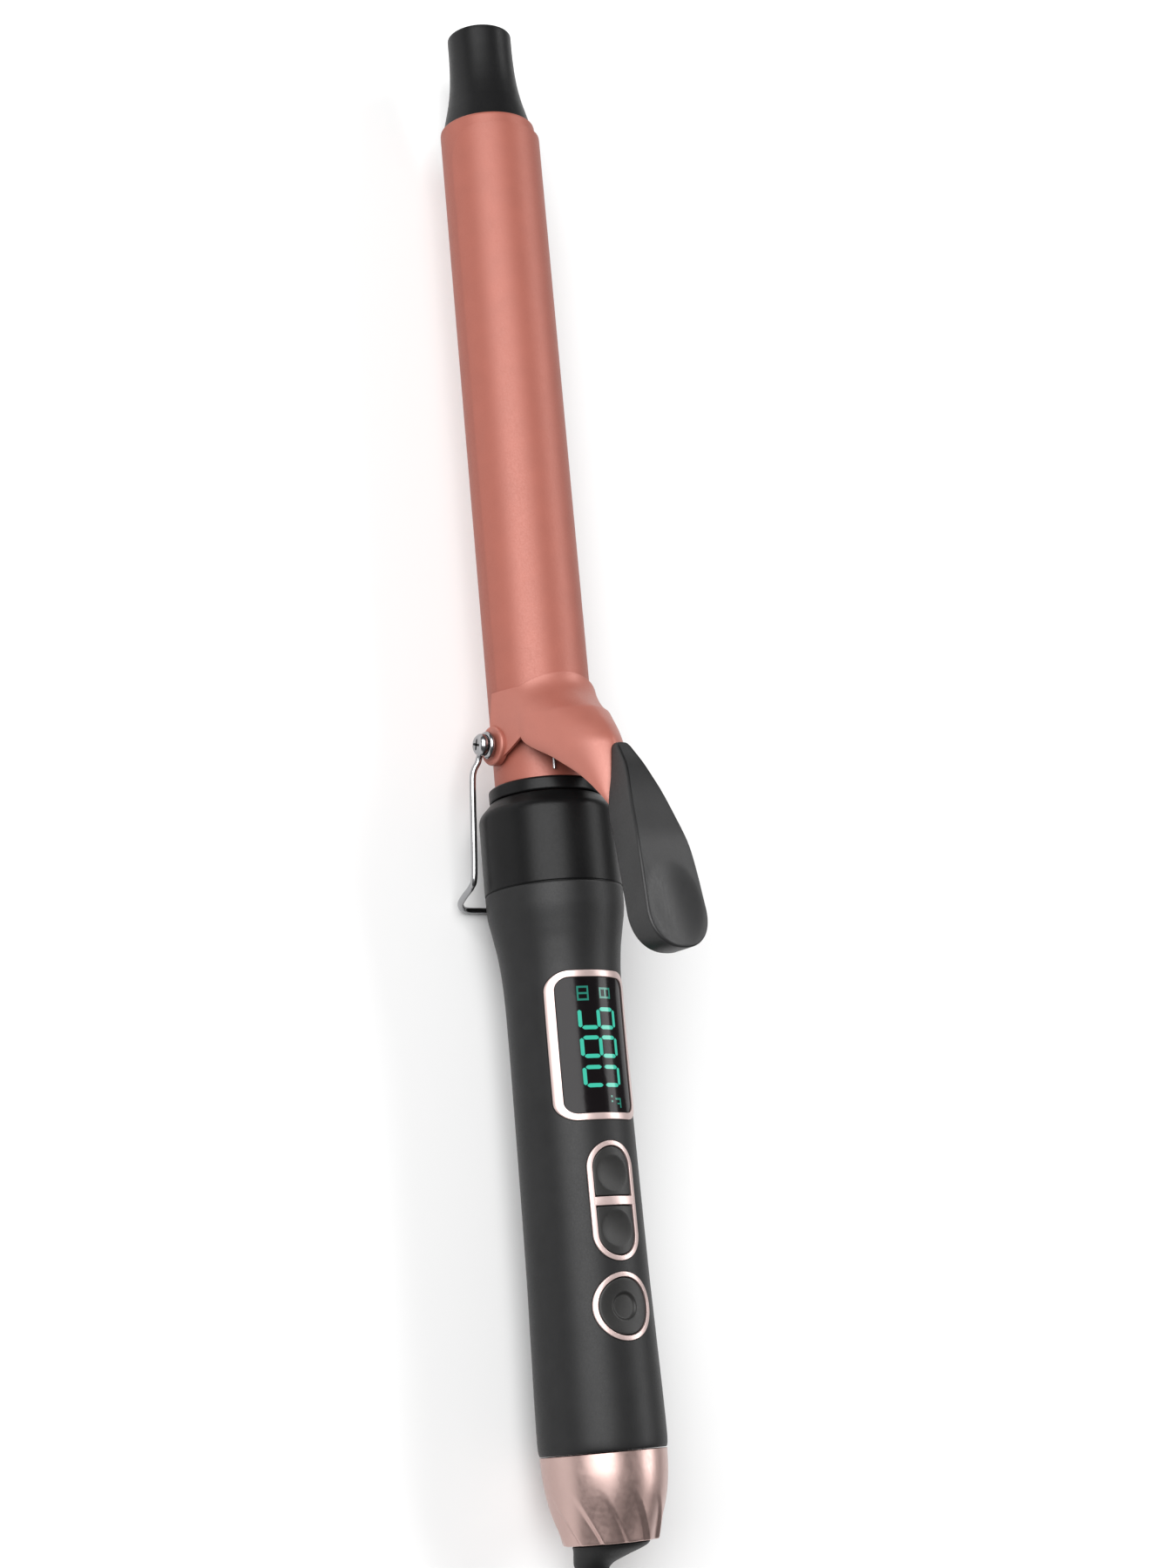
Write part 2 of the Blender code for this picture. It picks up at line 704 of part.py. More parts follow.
def build_boot(look):
    """Round base and a slanting cone that ends in an outlet off the axis, with a bore right through."""
    side = OUTLET_OFFSET * math.cos(OUTLET_DIRECTION)
    height = OUTLET_OFFSET * math.sin(OUTLET_DIRECTION)
    rings = [
        (CAP_REAR - GAP, 0.0, BOOT_RADIUS - 0.2),
        (CAP_REAR - 0.6, 0.0, BOOT_RADIUS),
        (CAP_REAR - 1.6, 0.0, BOOT_RADIUS),
        (CAP_REAR - 4.9, 0.62, 6.4),
        (CAP_REAR - 7.4, 1.0, OUTLET_RADIUS),
        (BOOT_REAR, 1.0, OUTLET_RADIUS),
    ]
    bm = bmesh.new()
    loops = []
    for station, share, radius in rings:
        turns = [2 * math.pi * i / BOOT_SIDES for i in range(BOOT_SIDES)]
        loop = []
        for turn in turns:
            y = side * share + radius * math.cos(turn)
            z = height * share + radius * math.sin(turn)
            loop.append(bm.verts.new(place(station, y, z)))
        loops.append(loop)
    for before, after in zip(loops, loops[1:]):
        for i in range(BOOT_SIDES):
            j = (i + 1) % BOOT_SIDES
            bm.faces.new((before[i], before[j], after[j], after[i]))
    bm.faces.new(loops[0])
    bm.faces.new(loops[-1])
    boot = to_object("swivel_boot", bm, look["satin_black"])
    outlet = (0, side, height)
    bore = (BOOT_REAR - 2, CAP_REAR - 2.2)
    cut(boot, disc("boot_outlet_bore", OUTLET_BORE, *bore, None, outlet, sides=20))
    hub = [
        (CAP_REAR - 1.0, 0.0),
        (CAP_REAR - 1.0, HUB_RADIUS),
        (HUB_FRONT - 1.2, HUB_RADIUS),
        (HUB_FRONT - 1.2, HUB_RADIUS - 0.5),
        (HUB_FRONT, HUB_RADIUS - 0.5),
        (HUB_FRONT, 0.0),
    ]
    join(boot, turned("boot_hub", hub, None, sides=24))
    cut(boot, disc("boot_hub_bore", HUB_BORE, CAP_REAR - 3.4, HUB_FRONT + 2, None, sides=16))
    clip_outline = [
        (-174.0, HUB_RADIUS + GAP),
        (-174.0, 8.2),
        (-175.2, 8.2),
        (-175.2, HUB_RADIUS + GAP),
    ]
    turned("swivel_clip", clip_outline, look["chrome"], sides=24)
    pivot("swivel_axis", (CAP_REAR, 0, 0), boot)


# ------------------------------------------------------------------ clamp


def sheet_solid(name, rows, thickness_of, finish):
    """A closed sheet from rows of outer points; each point is thickened along a given inward way."""
    bm = bmesh.new()
    outer = [[bm.verts.new(place(*p)) for p in row] for row in rows]
    inner = []
    for i, row in enumerate(rows):
        inner.append([bm.verts.new(place(*thickness_of(p, i, j))) for j, p in enumerate(row)])
    last_row, last = len(rows) - 1, len(rows[0]) - 1
    for grid, flip in ((outer, False), (inner, True)):
        for i in range(last_row):
            for j in range(last):
                quad = [grid[i][j], grid[i][j + 1], grid[i + 1][j + 1], grid[i + 1][j]]
                bm.faces.new(quad[::-1] if flip else quad)
    rim = [(0, j) for j in range(last)] + [(i, last) for i in range(last_row)]
    rim += [(last_row, j) for j in range(last, 0, -1)] + [(i, 0) for i in range(last_row, 0, -1)]
    for (i, j), (k, m) in zip(rim, rim[1:] + rim[:1]):
        bm.faces.new((outer[i][j], outer[k][m], inner[k][m], inner[i][j]))
    return to_object(name, bm, finish)


def build_clamp_plate(look):
    """Curved plate that presses the hair on the barrel, round-cornered at its front."""
    radius = CLAMP_INNER + CLAMP_THICKNESS
    full = radius * CLAMP_HALF_WRAP
    flat_end = CLAMP_FRONT - CLAMP_CORNER
    turns = [math.radians(a) for a in (0, 20, 40, 58, 74, 90)]
    stations = [CLAMP_REAR, 60.0, 115.0] + [flat_end + CLAMP_CORNER * math.sin(a) for a in turns]
    halves = [full] * 3 + [full - CLAMP_CORNER * (1 - math.cos(a)) for a in turns]
    rows = []
    for station, half in zip(stations, halves):
        angles = [half / radius * x for x in spaced(-1, 1, 14)]
        rows.append([(station, radius * math.sin(a), radius * math.cos(a)) for a in angles])

    def inward(point, _row, _column):
        s, y, z = point
        share = CLAMP_INNER / radius
        return (s, y * share, z * share)

    return sheet_solid("clamp_plate", rows, inward, look["rose_gold"])


def bracket_point(station, share, side_part=0.0):
    """A point on the bracket's outer face. share runs from the ridge (0) to the knee (1) on one
    side; side_part then runs from the knee down to the hinge's height (1)."""
    knee_side = curve_value(KNEE_SIDE, station)
    knee_height = curve_value(KNEE_HEIGHT, station)
    ridge = curve_value(RIDGE, station)
    round_share = curve_value([(15.0, 0.0), (CREASE_TOP, 1.0)], station)
    turn = math.radians(90 * share)
    pointed = (
        knee_side * math.sin(turn) ** 1.25,
        knee_height + (ridge - knee_height) * math.cos(turn) ** 1.25,
    )
    if side_part:
        pointed = (
            pointed[0] + (SIDE_SPREAD - pointed[0]) * side_part,
            pointed[1] * (1 - side_part),
        )
    arc = KNEE_ANGLE * share + (CLAMP_HALF_WRAP - KNEE_ANGLE) * side_part
    circular = (RIDGE[0][1] * math.sin(arc), RIDGE[0][1] * math.cos(arc))
    side, height = (p + (c - p) * round_share for p, c in zip(pointed, circular))
    return side, height


def build_bracket(look):
    """Stamped bracket: a saddle on the plate, an ear on each side and an arm up to the lever."""
    columns = [-x for x in spaced(1, 0, 5)] + spaced(0, 1, 5)[1:]
    sides = [1.0, 0.66, 0.33]
    rows = []
    for v in spaced(0, 1, 8):
        row = []
        for way, parts in ((-1, sides), (1, sides[::-1])):
            edge = []
            for part in parts:
                end = NOTCH + (5.3 - NOTCH) * part
                start = CREASE_TOP - CREASE_DIP
                station = start + (end - start) * v
                y, z = bracket_point(station, 1.0, part)
                edge.append((station, way * y, z))
            row.append(edge)
        middle = []
        for share in columns:
            start = CREASE_TOP - CREASE_DIP * share * share
            station = start + (NOTCH - start) * v
            y, z = bracket_point(station, abs(share))
            middle.append((station, math.copysign(y, share), z))
        rows.append(row[0] + middle + row[1])
    bracket = sheet_solid("clamp_bracket", rows, inward_of(rows), look["rose_gold"])
    arm_rows = []
    for station in (NOTCH + 1.2, NOTCH, 7.0, 4.0, 1.0, -3.0, -7.0, -11.0, ARM_END):
        spots = [(share, *bracket_point(station, abs(share))) for share in columns]
        arm_rows.append([(station, math.copysign(y, share), z) for share, y, z in spots])
    join(bracket, sheet_solid("bracket_arm", arm_rows, inward_of(arm_rows), look["rose_gold"]))
    for name, way in (("left", 1), ("right", -1)):
        inner, outer = sorted((way * EAR_INNER, way * EAR_OUTER))
        ear_finish = look["rose_gold"]
        join(bracket, disc(f"ear_{name}", EAR_RADIUS, inner, outer, ear_finish, (HINGE, 0, 0), (0, 1, 0)))
    cut(bracket, disc("ear_pin_cut", PIN_HOLE, -20, 20, None, (HINGE, 0, 0), (0, 1, 0), 16))
    return bracket


def inward_of(rows):
    """Inward direction of each point of a sheet, from its neighbours, as a thickening function."""

    def normal(i, j):
        up = Vector(rows[min(i + 1, len(rows) - 1)][j]) - Vector(rows[max(i - 1, 0)][j])
        across = Vector(rows[i][min(j + 1, len(rows[i]) - 1)]) - Vector(rows[i][max(j - 1, 0)])
        found = up.cross(across).normalized()
        here = Vector(rows[i][j])
        return -found if found.dot(Vector((0, here.y, here.z))) > 0 else found

    return lambda point, i, j: tuple(Vector(point) + normal(i, j) * SHEET)


def build_lever(look, bracket):
    """Thumb lever: a teardrop paddle on a wedge root, dished near its round end."""
    stations = [LEVER_FRONT, 1.0, -3.0, -8.0, -13.0, -18.0, -24.0, -30.0, -36.0, LEVER_END_CENTRE]
    for turn in (20, 40, 58, 74, 86):
        stations.append(LEVER_END_CENTRE - LEVER_END_LENGTH * math.sin(math.radians(turn)))
    rows = []
    for station in stations:
        past = max(0.0, LEVER_END_CENTRE - station) / LEVER_END_LENGTH
        half = curve_value(LEVER_HALF, station) * math.sqrt(max(1 - past * past, 0.002))
        top = curve_value(LEVER_TOP, station)
        bottom = curve_value(LEVER_BOTTOM, station)
        edge = min(LEVER_EDGE, half * 0.3, (top - bottom) * 0.3)
        across = [-1.0, -0.6, -0.25, 0.25, 0.6, 1.0]
        row = [(half, top - edge), (half, bottom + edge), (half - edge, bottom)]
        row += [(edge - half, bottom), (-half, bottom + edge), (-half, top - edge)]
        for x in across:
            y = x * (half - edge)
            away = math.hypot((station - DISH_STATION) / DISH_LENGTH, y / DISH_HALF_WIDTH)
            dish = DISH_DEPTH * max(0.0, 1 - away * away) ** 1.5
            row.append((y, top - dish))
        rows.append([(station, y, z) for y, z in row])
    bm = bmesh.new()
    loops = [[bm.verts.new(place(*p)) for p in row] for row in rows]
    count = len(loops[0])
    for before, after in zip(loops, loops[1:]):
        for i in range(count):
            j = (i + 1) % count
            bm.faces.new((before[i], before[j], after[j], after[i]))
    bm.faces.new(loops[0])
    bm.faces.new(loops[-1])
    lever = to_object("thumb_lever", bm, look["satin_black"])
    screws = []
    for name, station in LEVER_SCREWS.items():
        spot = (station, 0, 0)
        top = curve_value(RIDGE, station)
        under = top - SHEET - 1.1
        hole = disc(name + "_cut", 0.8 + GAP, 20.0, top + 3.6, None, spot, (0, 0, 1), 12)
        cut(lever, hole)
        cut(bracket, hole)
        screw = [(under - 1.2, 0.0), (under - 1.2, 1.3), (under - 0.9, 1.6), (under, 1.6)]
        screw += [(under, 0.8), (top + 3.2, 0.8), (top + 3.2, 0.0)]
        screws.append(turned(name, screw, look["chrome"], spot, (0, 0, 1), 12))
    return [lever, *screws]


def build_spring(look):
    """Double torsion spring on a cross pin, held by a saddle on the barrel under the bracket."""
    coil, leg_side, loop_side = [], 5.0, 2.2
    turns, steps = 2.5, 10
    for i in range(int(turns * steps) + 1):
        angle = -math.pi / 2 - 2 * math.pi * i / steps
        side = leg_side - (leg_side - loop_side) * i / (turns * steps)
        station = SPRING_STATION + COIL_RADIUS * math.cos(angle)
        coil.append((station, side, SPRING_HEIGHT + COIL_RADIUS * math.sin(angle)))
    leg = [(1.6, leg_side, 12.5), (6.0, leg_side, 12.9)]
    rise = [(9.5, loop_side, 19.0), (6.2, loop_side, 25.0), (5.0, loop_side - 0.9, 26.6)]
    half = leg + coil + rise
    other = [(s, -y, z) for s, y, z in reversed(half)]
    wire("clamp_spring", half + other, SPRING_WIRE, look["chrome"], 1)
    centre = (SPRING_STATION, 0, SPRING_HEIGHT)
    disc("spring_pin", COIL_RADIUS - SPRING_WIRE - GAP, -5.6, 5.6, look["chrome"], centre, (0, 1, 0), 10)
    for name, way in (("left", 1), ("right", -1)):
        saddle_lug(f"spring_lug_{name}", way, look)


def saddle_lug(name, way, look):
    """One upright lug, welded on the barrel, that holds the spring's pin."""
    lug = block(name, (10.9, 14.1), 0.5, (11.3, 16.4), look["chrome"], side=way * 6.4)
    return lug


def build_hinge_screws(look):
    """Shouldered screws on which the clamp and the stand turn."""
    for name, way in (("hinge_screw_left", 1), ("hinge_screw_right", -1)):
        outline = [
            (way * 7.5, 0.0),
            (way * 7.5, PIN_RADIUS),
            (way * HEAD_INNER, PIN_RADIUS),
            (way * HEAD_INNER, HEAD_RADIUS),
            (way * (HEAD_OUTER - 0.8), HEAD_RADIUS),
            (way * (HEAD_OUTER - 0.15), HEAD_RADIUS - 0.8),
            (way * HEAD_OUTER, HEAD_RADIUS - 1.6),
            (way * HEAD_OUTER, 0.0),
        ]
        turned(name, outline, look["chrome"], (HINGE, 0, 0), (0, 1, 0), 18)


def build_stand(look):
    """Wire stand: an eye round each hinge screw, two legs and a crosspiece under the collar."""
    eye = []
    for turn in spaced(185, -90, 9):
        angle = math.radians(turn)
        eye.append((HINGE + EYE_RADIUS * math.cos(angle), EYE_SIDE, EYE_RADIUS * math.sin(angle)))
    bends = [
        (6.6, 17.2, -3.1),
        (4.2, 18.4, -3.6),
        (1.0, LEG_SIDE, -4.1),
        (-12.0, LEG_SIDE, -5.6),
        (-22.0, LEG_SIDE, -6.9),
        (-24.4, LEG_SIDE, -8.6),
        (-26.0, 18.7, -12.2),
        (-27.2, 17.6, -16.2),
        (STAND_REAR, 14.5, -STAND_DROP + 0.3),
        (STAND_REAR, 9.0, -STAND_DROP),
    ]
    half = eye[:-1] + smooth_path([eye[-1], *bends], 2)
    other = [(s, -y, z) for s, y, z in reversed(half)]
    return wire("wire_stand", half + other, WIRE_RADIUS, look["chrome"])


def build():
    """Builds the whole iron."""
    clear_scene()
    look = finishes()
    build_barrel(look)
    build_collar(look)
    build_sleeve(look)
    build_display(look)
    build_controls(look)
    build_electronics(look)
    build_rear(look)
    build_spring(look)
    build_hinge_screws(look)
    plate = build_clamp_plate(look)
    bracket = build_bracket(look)
    lever_pieces = build_lever(look, bracket)
    pivot("clamp_axis", (HINGE, 0, 0), plate, bracket, *lever_pieces)
    stand = build_stand(look)
    pivot("stand_axis", (HINGE, 0, 0), stand)


build()
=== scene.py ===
import math

import bmesh
import bpy
from mathutils import Matrix, Vector


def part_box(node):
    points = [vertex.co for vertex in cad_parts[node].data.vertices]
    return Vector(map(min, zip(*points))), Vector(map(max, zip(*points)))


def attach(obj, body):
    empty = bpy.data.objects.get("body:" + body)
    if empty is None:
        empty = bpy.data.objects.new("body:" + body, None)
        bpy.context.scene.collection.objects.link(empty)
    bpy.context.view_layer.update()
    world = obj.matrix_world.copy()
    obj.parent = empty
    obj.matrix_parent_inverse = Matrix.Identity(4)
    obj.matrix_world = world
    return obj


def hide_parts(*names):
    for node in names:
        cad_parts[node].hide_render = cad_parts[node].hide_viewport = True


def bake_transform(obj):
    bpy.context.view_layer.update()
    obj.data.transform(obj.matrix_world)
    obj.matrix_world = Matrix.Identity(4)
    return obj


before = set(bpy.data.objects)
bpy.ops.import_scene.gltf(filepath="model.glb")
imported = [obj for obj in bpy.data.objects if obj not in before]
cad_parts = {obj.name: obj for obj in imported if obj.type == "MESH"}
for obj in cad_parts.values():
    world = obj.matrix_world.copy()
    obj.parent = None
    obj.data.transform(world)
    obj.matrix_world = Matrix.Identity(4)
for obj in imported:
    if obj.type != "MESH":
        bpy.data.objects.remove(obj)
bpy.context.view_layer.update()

# Lengths are millimetres. A station is a distance along the barrel's axis from the front face of the
# collar ring, positive towards the cool tip. A side is along Y, a height is from the barrel's axis.
MM = 0.001
ZERO_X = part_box("collar_ring")[1][0]
AXIS_Z = (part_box("barrel_tube")[0][2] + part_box("barrel_tube")[1][2]) / 2
AROUND = 144
RIGHT_ANGLE = math.pi / 2

TIP_END = 207.5
BARREL_FRONT = 180.0
BARREL_RADIUS = 12.5
HINGE = 10.0
COLLAR_REAR = -27.0
SLEEVE_REAR = -163.4
CAP_REAR = -184.4

# The sleeve's radius along the handle, as (station, radius)
SLEEVE_OUTLINE = [
    (-27.3, 17.25),
    (-31.5, 17.15),
    (-37.5, 16.2),
    (-42.0, 15.4),
    (-48.0, 14.8),
    (-56.0, 14.5),
    (-67.0, 14.45),
    (-102.0, 14.65),
    (-122.0, 14.85),
    (-136.0, 15.15),
    (-155.0, 15.55),
    (-161.0, 15.6),
    (SLEEVE_REAR, 15.4),
]

# The panels set into the sleeve, from above: stations, half widths and the bands of their frames
DISPLAY = (-85.8, -49.3)
DISPLAY_HALF = 11.6
DISPLAY_BAND = 1.65
DISPLAY_CORNER = 4.6
CAPSULE = (-119.6, -90.9)
CAPSULE_HALF = 6.5
CAPSULE_BAND = 1.2
CROSSBAR = -105.3
CROSSBAR_WIDTH = 2.1
POWER = -130.3
POWER_RADIUS = 8.1
POWER_BAND = 1.15
PROUD = 0.35
FRAME_SOFT = 0.16
FRAME_FOOT = -1.2
BUTTON_GAP = 0.2
BUTTON_RISE = 0.12
BUTTON_FOOT = -1.3
POCKET_DEPTH = 2.5
WELL_DEPTH = 2.2


# ---------- helpers


def place(s, y, z):
    """World position of a point given in the iron's own measures."""
    return Vector((ZERO_X + s * MM, y * MM, AXIS_Z + z * MM))


def spaced(start, end, steps):
    """Numbers from start to end, both included, in even steps."""
    return [start + (end - start) * i / steps for i in range(steps + 1)]


def full_turn(steps):
    """Angles in even steps once round."""
    return [2 * math.pi * i / steps for i in range(steps)]


def smoothstep(low, high, value):
    t = min(1.0, max(0.0, (value - low) / (high - low)))
    return t * t * (3 - 2 * t)


def curve_value(points, at):
    """Smooth value at a station, through (station, value) pairs, without overshoot."""
    points = sorted(points)
    if at <= points[0][0]:
        return points[0][1]
    if at >= points[-1][0]:
        return points[-1][1]
    slopes = [(b[1] - a[1]) / (b[0] - a[0]) for a, b in zip(points, points[1:])]
    tangents = [slopes[0]]
    for before, after in zip(slopes, slopes[1:]):
        same_way = before * after > 0
        tangents.append(2 * before * after / (before + after) if same_way else 0.0)
    tangents.append(slopes[-1])
    i = max(k for k in range(len(slopes)) if points[k][0] <= at)
    (x0, y0), (x1, y1) = points[i], points[i + 1]
    span = x1 - x0
    t = (at - x0) / span
    rise = (3 - 2 * t) * t * t
    start = t * (1 - t) ** 2 * span * tangents[i]
    end = t * t * (t - 1) * span * tangents[i + 1]
    return y0 + (y1 - y0) * rise + start + end


def sleeve_radius(s):
    return curve_value(SLEEVE_OUTLINE, s)


def to_object(name, points, faces, finish, sharp=40.0):
    """A smooth-shaded object from points in the iron's measures and lists of their numbers."""
    bm = bmesh.new()
    verts = [bm.verts.new(place(*p)) for p in points]
    for face in faces:
        if len(set(face)) > 2:
            try:
                bm.faces.new([verts[i] for i in face])
            except ValueError:
                continue
    bmesh.ops.remove_doubles(bm, verts=bm.verts, dist=2e-6)
    bmesh.ops.dissolve_degenerate(bm, edges=bm.edges, dist=1e-6)
    bmesh.ops.recalc_face_normals(bm, faces=bm.faces)
    mesh = bpy.data.meshes.new(name)
    bm.to_mesh(mesh)
    bm.free()
    mesh.shade_smooth()
    mesh.set_sharp_from_angle(angle=math.radians(sharp))
    made = bpy.data.objects.new(name, mesh)
    bpy.context.scene.collection.objects.link(made)
    mesh.materials.append(finish)
    return made


def loft(name, rings, finish, loop=True, caps=True, sharp=40.0):
    """A surface through rings of points. loop closes each ring, caps closes both ends."""
    count = len(rings[0])
    points = [p for ring in rings for p in ring]
    faces = []
    for a in range(len(rings) - 1):
        b = a + 1
        for i in range(count if loop else count - 1):
            j = (i + 1) % count
            faces.append((a * count + i, a * count + j, b * count + j, b * count + i))
    if caps:
        faces.append(tuple(range(count)))
        faces.append(tuple((len(rings) - 1) * count + i for i in range(count)))
    return to_object(name, points, faces, finish, sharp)


def softened(corners, steps=5):
    """An outline of (along, out, softness) corners, each rounded off by its softness."""
    line = []
    for i, (a, r, soft) in enumerate(corners):
        here = Vector((a, r))
        if soft <= 0 or i in (0, len(corners) - 1):
            line.append((a, r))
            continue
        before = Vector(corners[i - 1][:2]) - here
        after = Vector(corners[i + 1][:2]) - here
        start = here + before.normalized() * min(soft, before.length * 0.49)
        end = here + after.normalized() * min(soft, after.length * 0.49)
        for t in spaced(0, 1, steps):
            line.append(tuple(start * (1 - t) ** 2 + here * (2 * t * (1 - t)) + end * t * t))
    return line


def turned(name, outline, finish, centre=(0.0, 0.0, 0.0), axis="s", sides=AROUND):
    """A piece turned about an axis along s or y. The outline is (along, radius) pairs."""
    rings = []
    for along, radius in outline:
        ring = []
        for turn in full_turn(sides):
            u, v = radius * math.cos(turn), radius * math.sin(turn)
            offset = {"s": (along, u, v), "y": (u, along, v)}[axis]
            ring.append(tuple(c + o for c, o in zip(centre, offset)))
        rings.append(ring)
    return loft(name, rings, finish, caps=False)


def tube(name, path, radius, finish, sides=20):
    """A round wire along a path of (s, y, z) points, without twist."""
    spots = [Vector(p) for p in path]
    ways = []
    for i in range(len(spots)):
        a, b = spots[max(i - 1, 0)], spots[min(i + 1, len(spots) - 1)]
        ways.append((b - a).normalized())
    side = ways[0].orthogonal().normalized()
    rings = []
    for spot, way in zip(spots, ways):
        side = (side - way * side.dot(way)).normalized()
        up = way.cross(side)
        ring = []
        for turn in full_turn(sides):
            across, over = side * (radius * math.cos(turn)), up * (radius * math.sin(turn))
            ring.append(tuple(spot + across + over))
        rings.append(ring)
    return loft(name, rings, finish)


def smooth_path(points, steps=6):
    """A smooth line through points, as a finer list of points."""
    ends = [Vector(p) for p in points]
    ends = [2 * ends[0] - ends[1], *ends, 2 * ends[-1] - ends[-2]]
    line = []
    for a, b, c, d in zip(ends, ends[1:], ends[2:], ends[3:]):
        for t in spaced(0, 1, steps)[:-1]:
            line.append(
                b
                + (c - a) * (t / 2)
                + (2 * a - 5 * b + 4 * c - d) * (t * t / 2)
                + (3 * b - a - 3 * c + d) * (t * t * t / 2)
            )
    return [tuple(p) for p in line] + [tuple(points[-1])]


def mirrored(points):
    """The other half of a line that is the same on both sides, in the order that goes on from it."""
    return [(s, -y, z) for s, y, z in reversed(points)]


def modifier(piece, kind, **settings):
    made = piece.modifiers.new(kind.title(), kind)
    for key, value in settings.items():
        setattr(made, key, value)


def applied(piece):
    """Turns the piece's modifiers into its mesh."""
    graph = bpy.context.evaluated_depsgraph_get()
    mesh = bpy.data.meshes.new_from_object(piece.evaluated_get(graph))
    piece.modifiers.clear()
    mesh.name = piece.data.name
    piece.data = mesh


def dress(piece, body, slot, *nodes):
    """Rides a piece on its body and hides the CAD nodes it stands for. The slot is not used."""
    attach(piece, body)
    if nodes:
        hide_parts(*nodes)


# ---------- materials


# The part of a noise texture's range that holds nearly all of its values
NOISE_LOW, NOISE_HIGH = 0.3, 0.7


def shader_of(material):
    return material.node_tree.nodes["Principled BSDF"]


def basic(name, colour, roughness, metallic=0.0, specular=0.5):
    """A node material with its plain values on the shader's own sockets."""
    made = bpy.data.materials.new(name)
    made.use_nodes = True
    shader = shader_of(made)
    shader.inputs["Base Color"].default_value = (*colour, 1.0)
    shader.inputs["Roughness"].default_value = roughness
    shader.inputs["Metallic"].default_value = metallic
    shader.inputs["Specular IOR Level"].default_value = specular
    made.diffuse_color = (*colour, 1.0)
    return made


def node(material, kind, values=()):
    """A new node in a material; values are (input, value) pairs."""
    made = material.node_tree.nodes.new(kind)
    for key, value in values:
        made.inputs[key].default_value = value
    return made


def link(material, source, target):
    material.node_tree.links.new(source, target)


def noise(material, scale, detail=3.0):
    """A noise texture on the object's own coordinates."""
    coordinates = node(material, "ShaderNodeTexCoord")
    values = (("Scale", scale), ("Detail", detail), ("Roughness", 0.55))
    texture = node(material, "ShaderNodeTexNoise", values)
    link(material, coordinates.outputs["Object"], texture.inputs["Vector"])
    return texture.outputs["Fac"]


def spread(material, source, low, high):
    """Roughness from a texture, mapped to a range."""
    values = (("From Min", NOISE_LOW), ("From Max", NOISE_HIGH), ("To Min", low), ("To Max", high))
    ranged = node(material, "ShaderNodeMapRange", values)
    link(material, source, ranged.inputs["Value"])
    link(material, ranged.outputs["Result"], shader_of(material).inputs["Roughness"])


def tint(material, source, low, high):
    """Colours the shader between two colours by a texture."""
    ramp = node(material, "ShaderNodeValToRGB")
    for element, position, colour in zip(ramp.color_ramp.elements, (NOISE_LOW, NOISE_HIGH), (low, high)):
        element.position = position
        element.color = (*colour, 1.0)
    link(material, source, ramp.inputs["Fac"])
    link(material, ramp.outputs["Color"], shader_of(material).inputs["Base Color"])


def bump(material, source, distance):
    """Surface relief from a texture. The distance is in millimetres."""
    relief = node(material, "ShaderNodeBump", (("Distance", distance * MM),))
    link(material, source, relief.inputs["Height"])
    link(material, relief.outputs["Normal"], shader_of(material).inputs["Normal"])


def scaled(colour, by):
    return tuple(c * by for c in colour)


def varied(name, colour, roughness, grain, relief, amount, metallic, specular):
    """A finish with a fine grain: slight colour change, uneven roughness and a small relief."""
    made = basic(name, colour, roughness, metallic, specular)
    fine = noise(made, grain)
    broad = noise(made, grain * 0.06, detail=2.0)
    tint(made, broad, scaled(colour, 1 - amount), scaled(colour, 1 + amount))
    spread(made, fine, roughness * 0.88, roughness * 1.12)
    bump(made, fine, relief)
    return made


def glowing(name, colour, glow, strength):
    """A lit mark on the display."""
    made = basic(name, colour, 0.12)
    shader_of(made).inputs["Emission Color"].default_value = (*glow, 1.0)
    shader_of(made).inputs["Emission Strength"].default_value = strength
    spread(made, noise(made, 900), 0.10, 0.14)
    return made


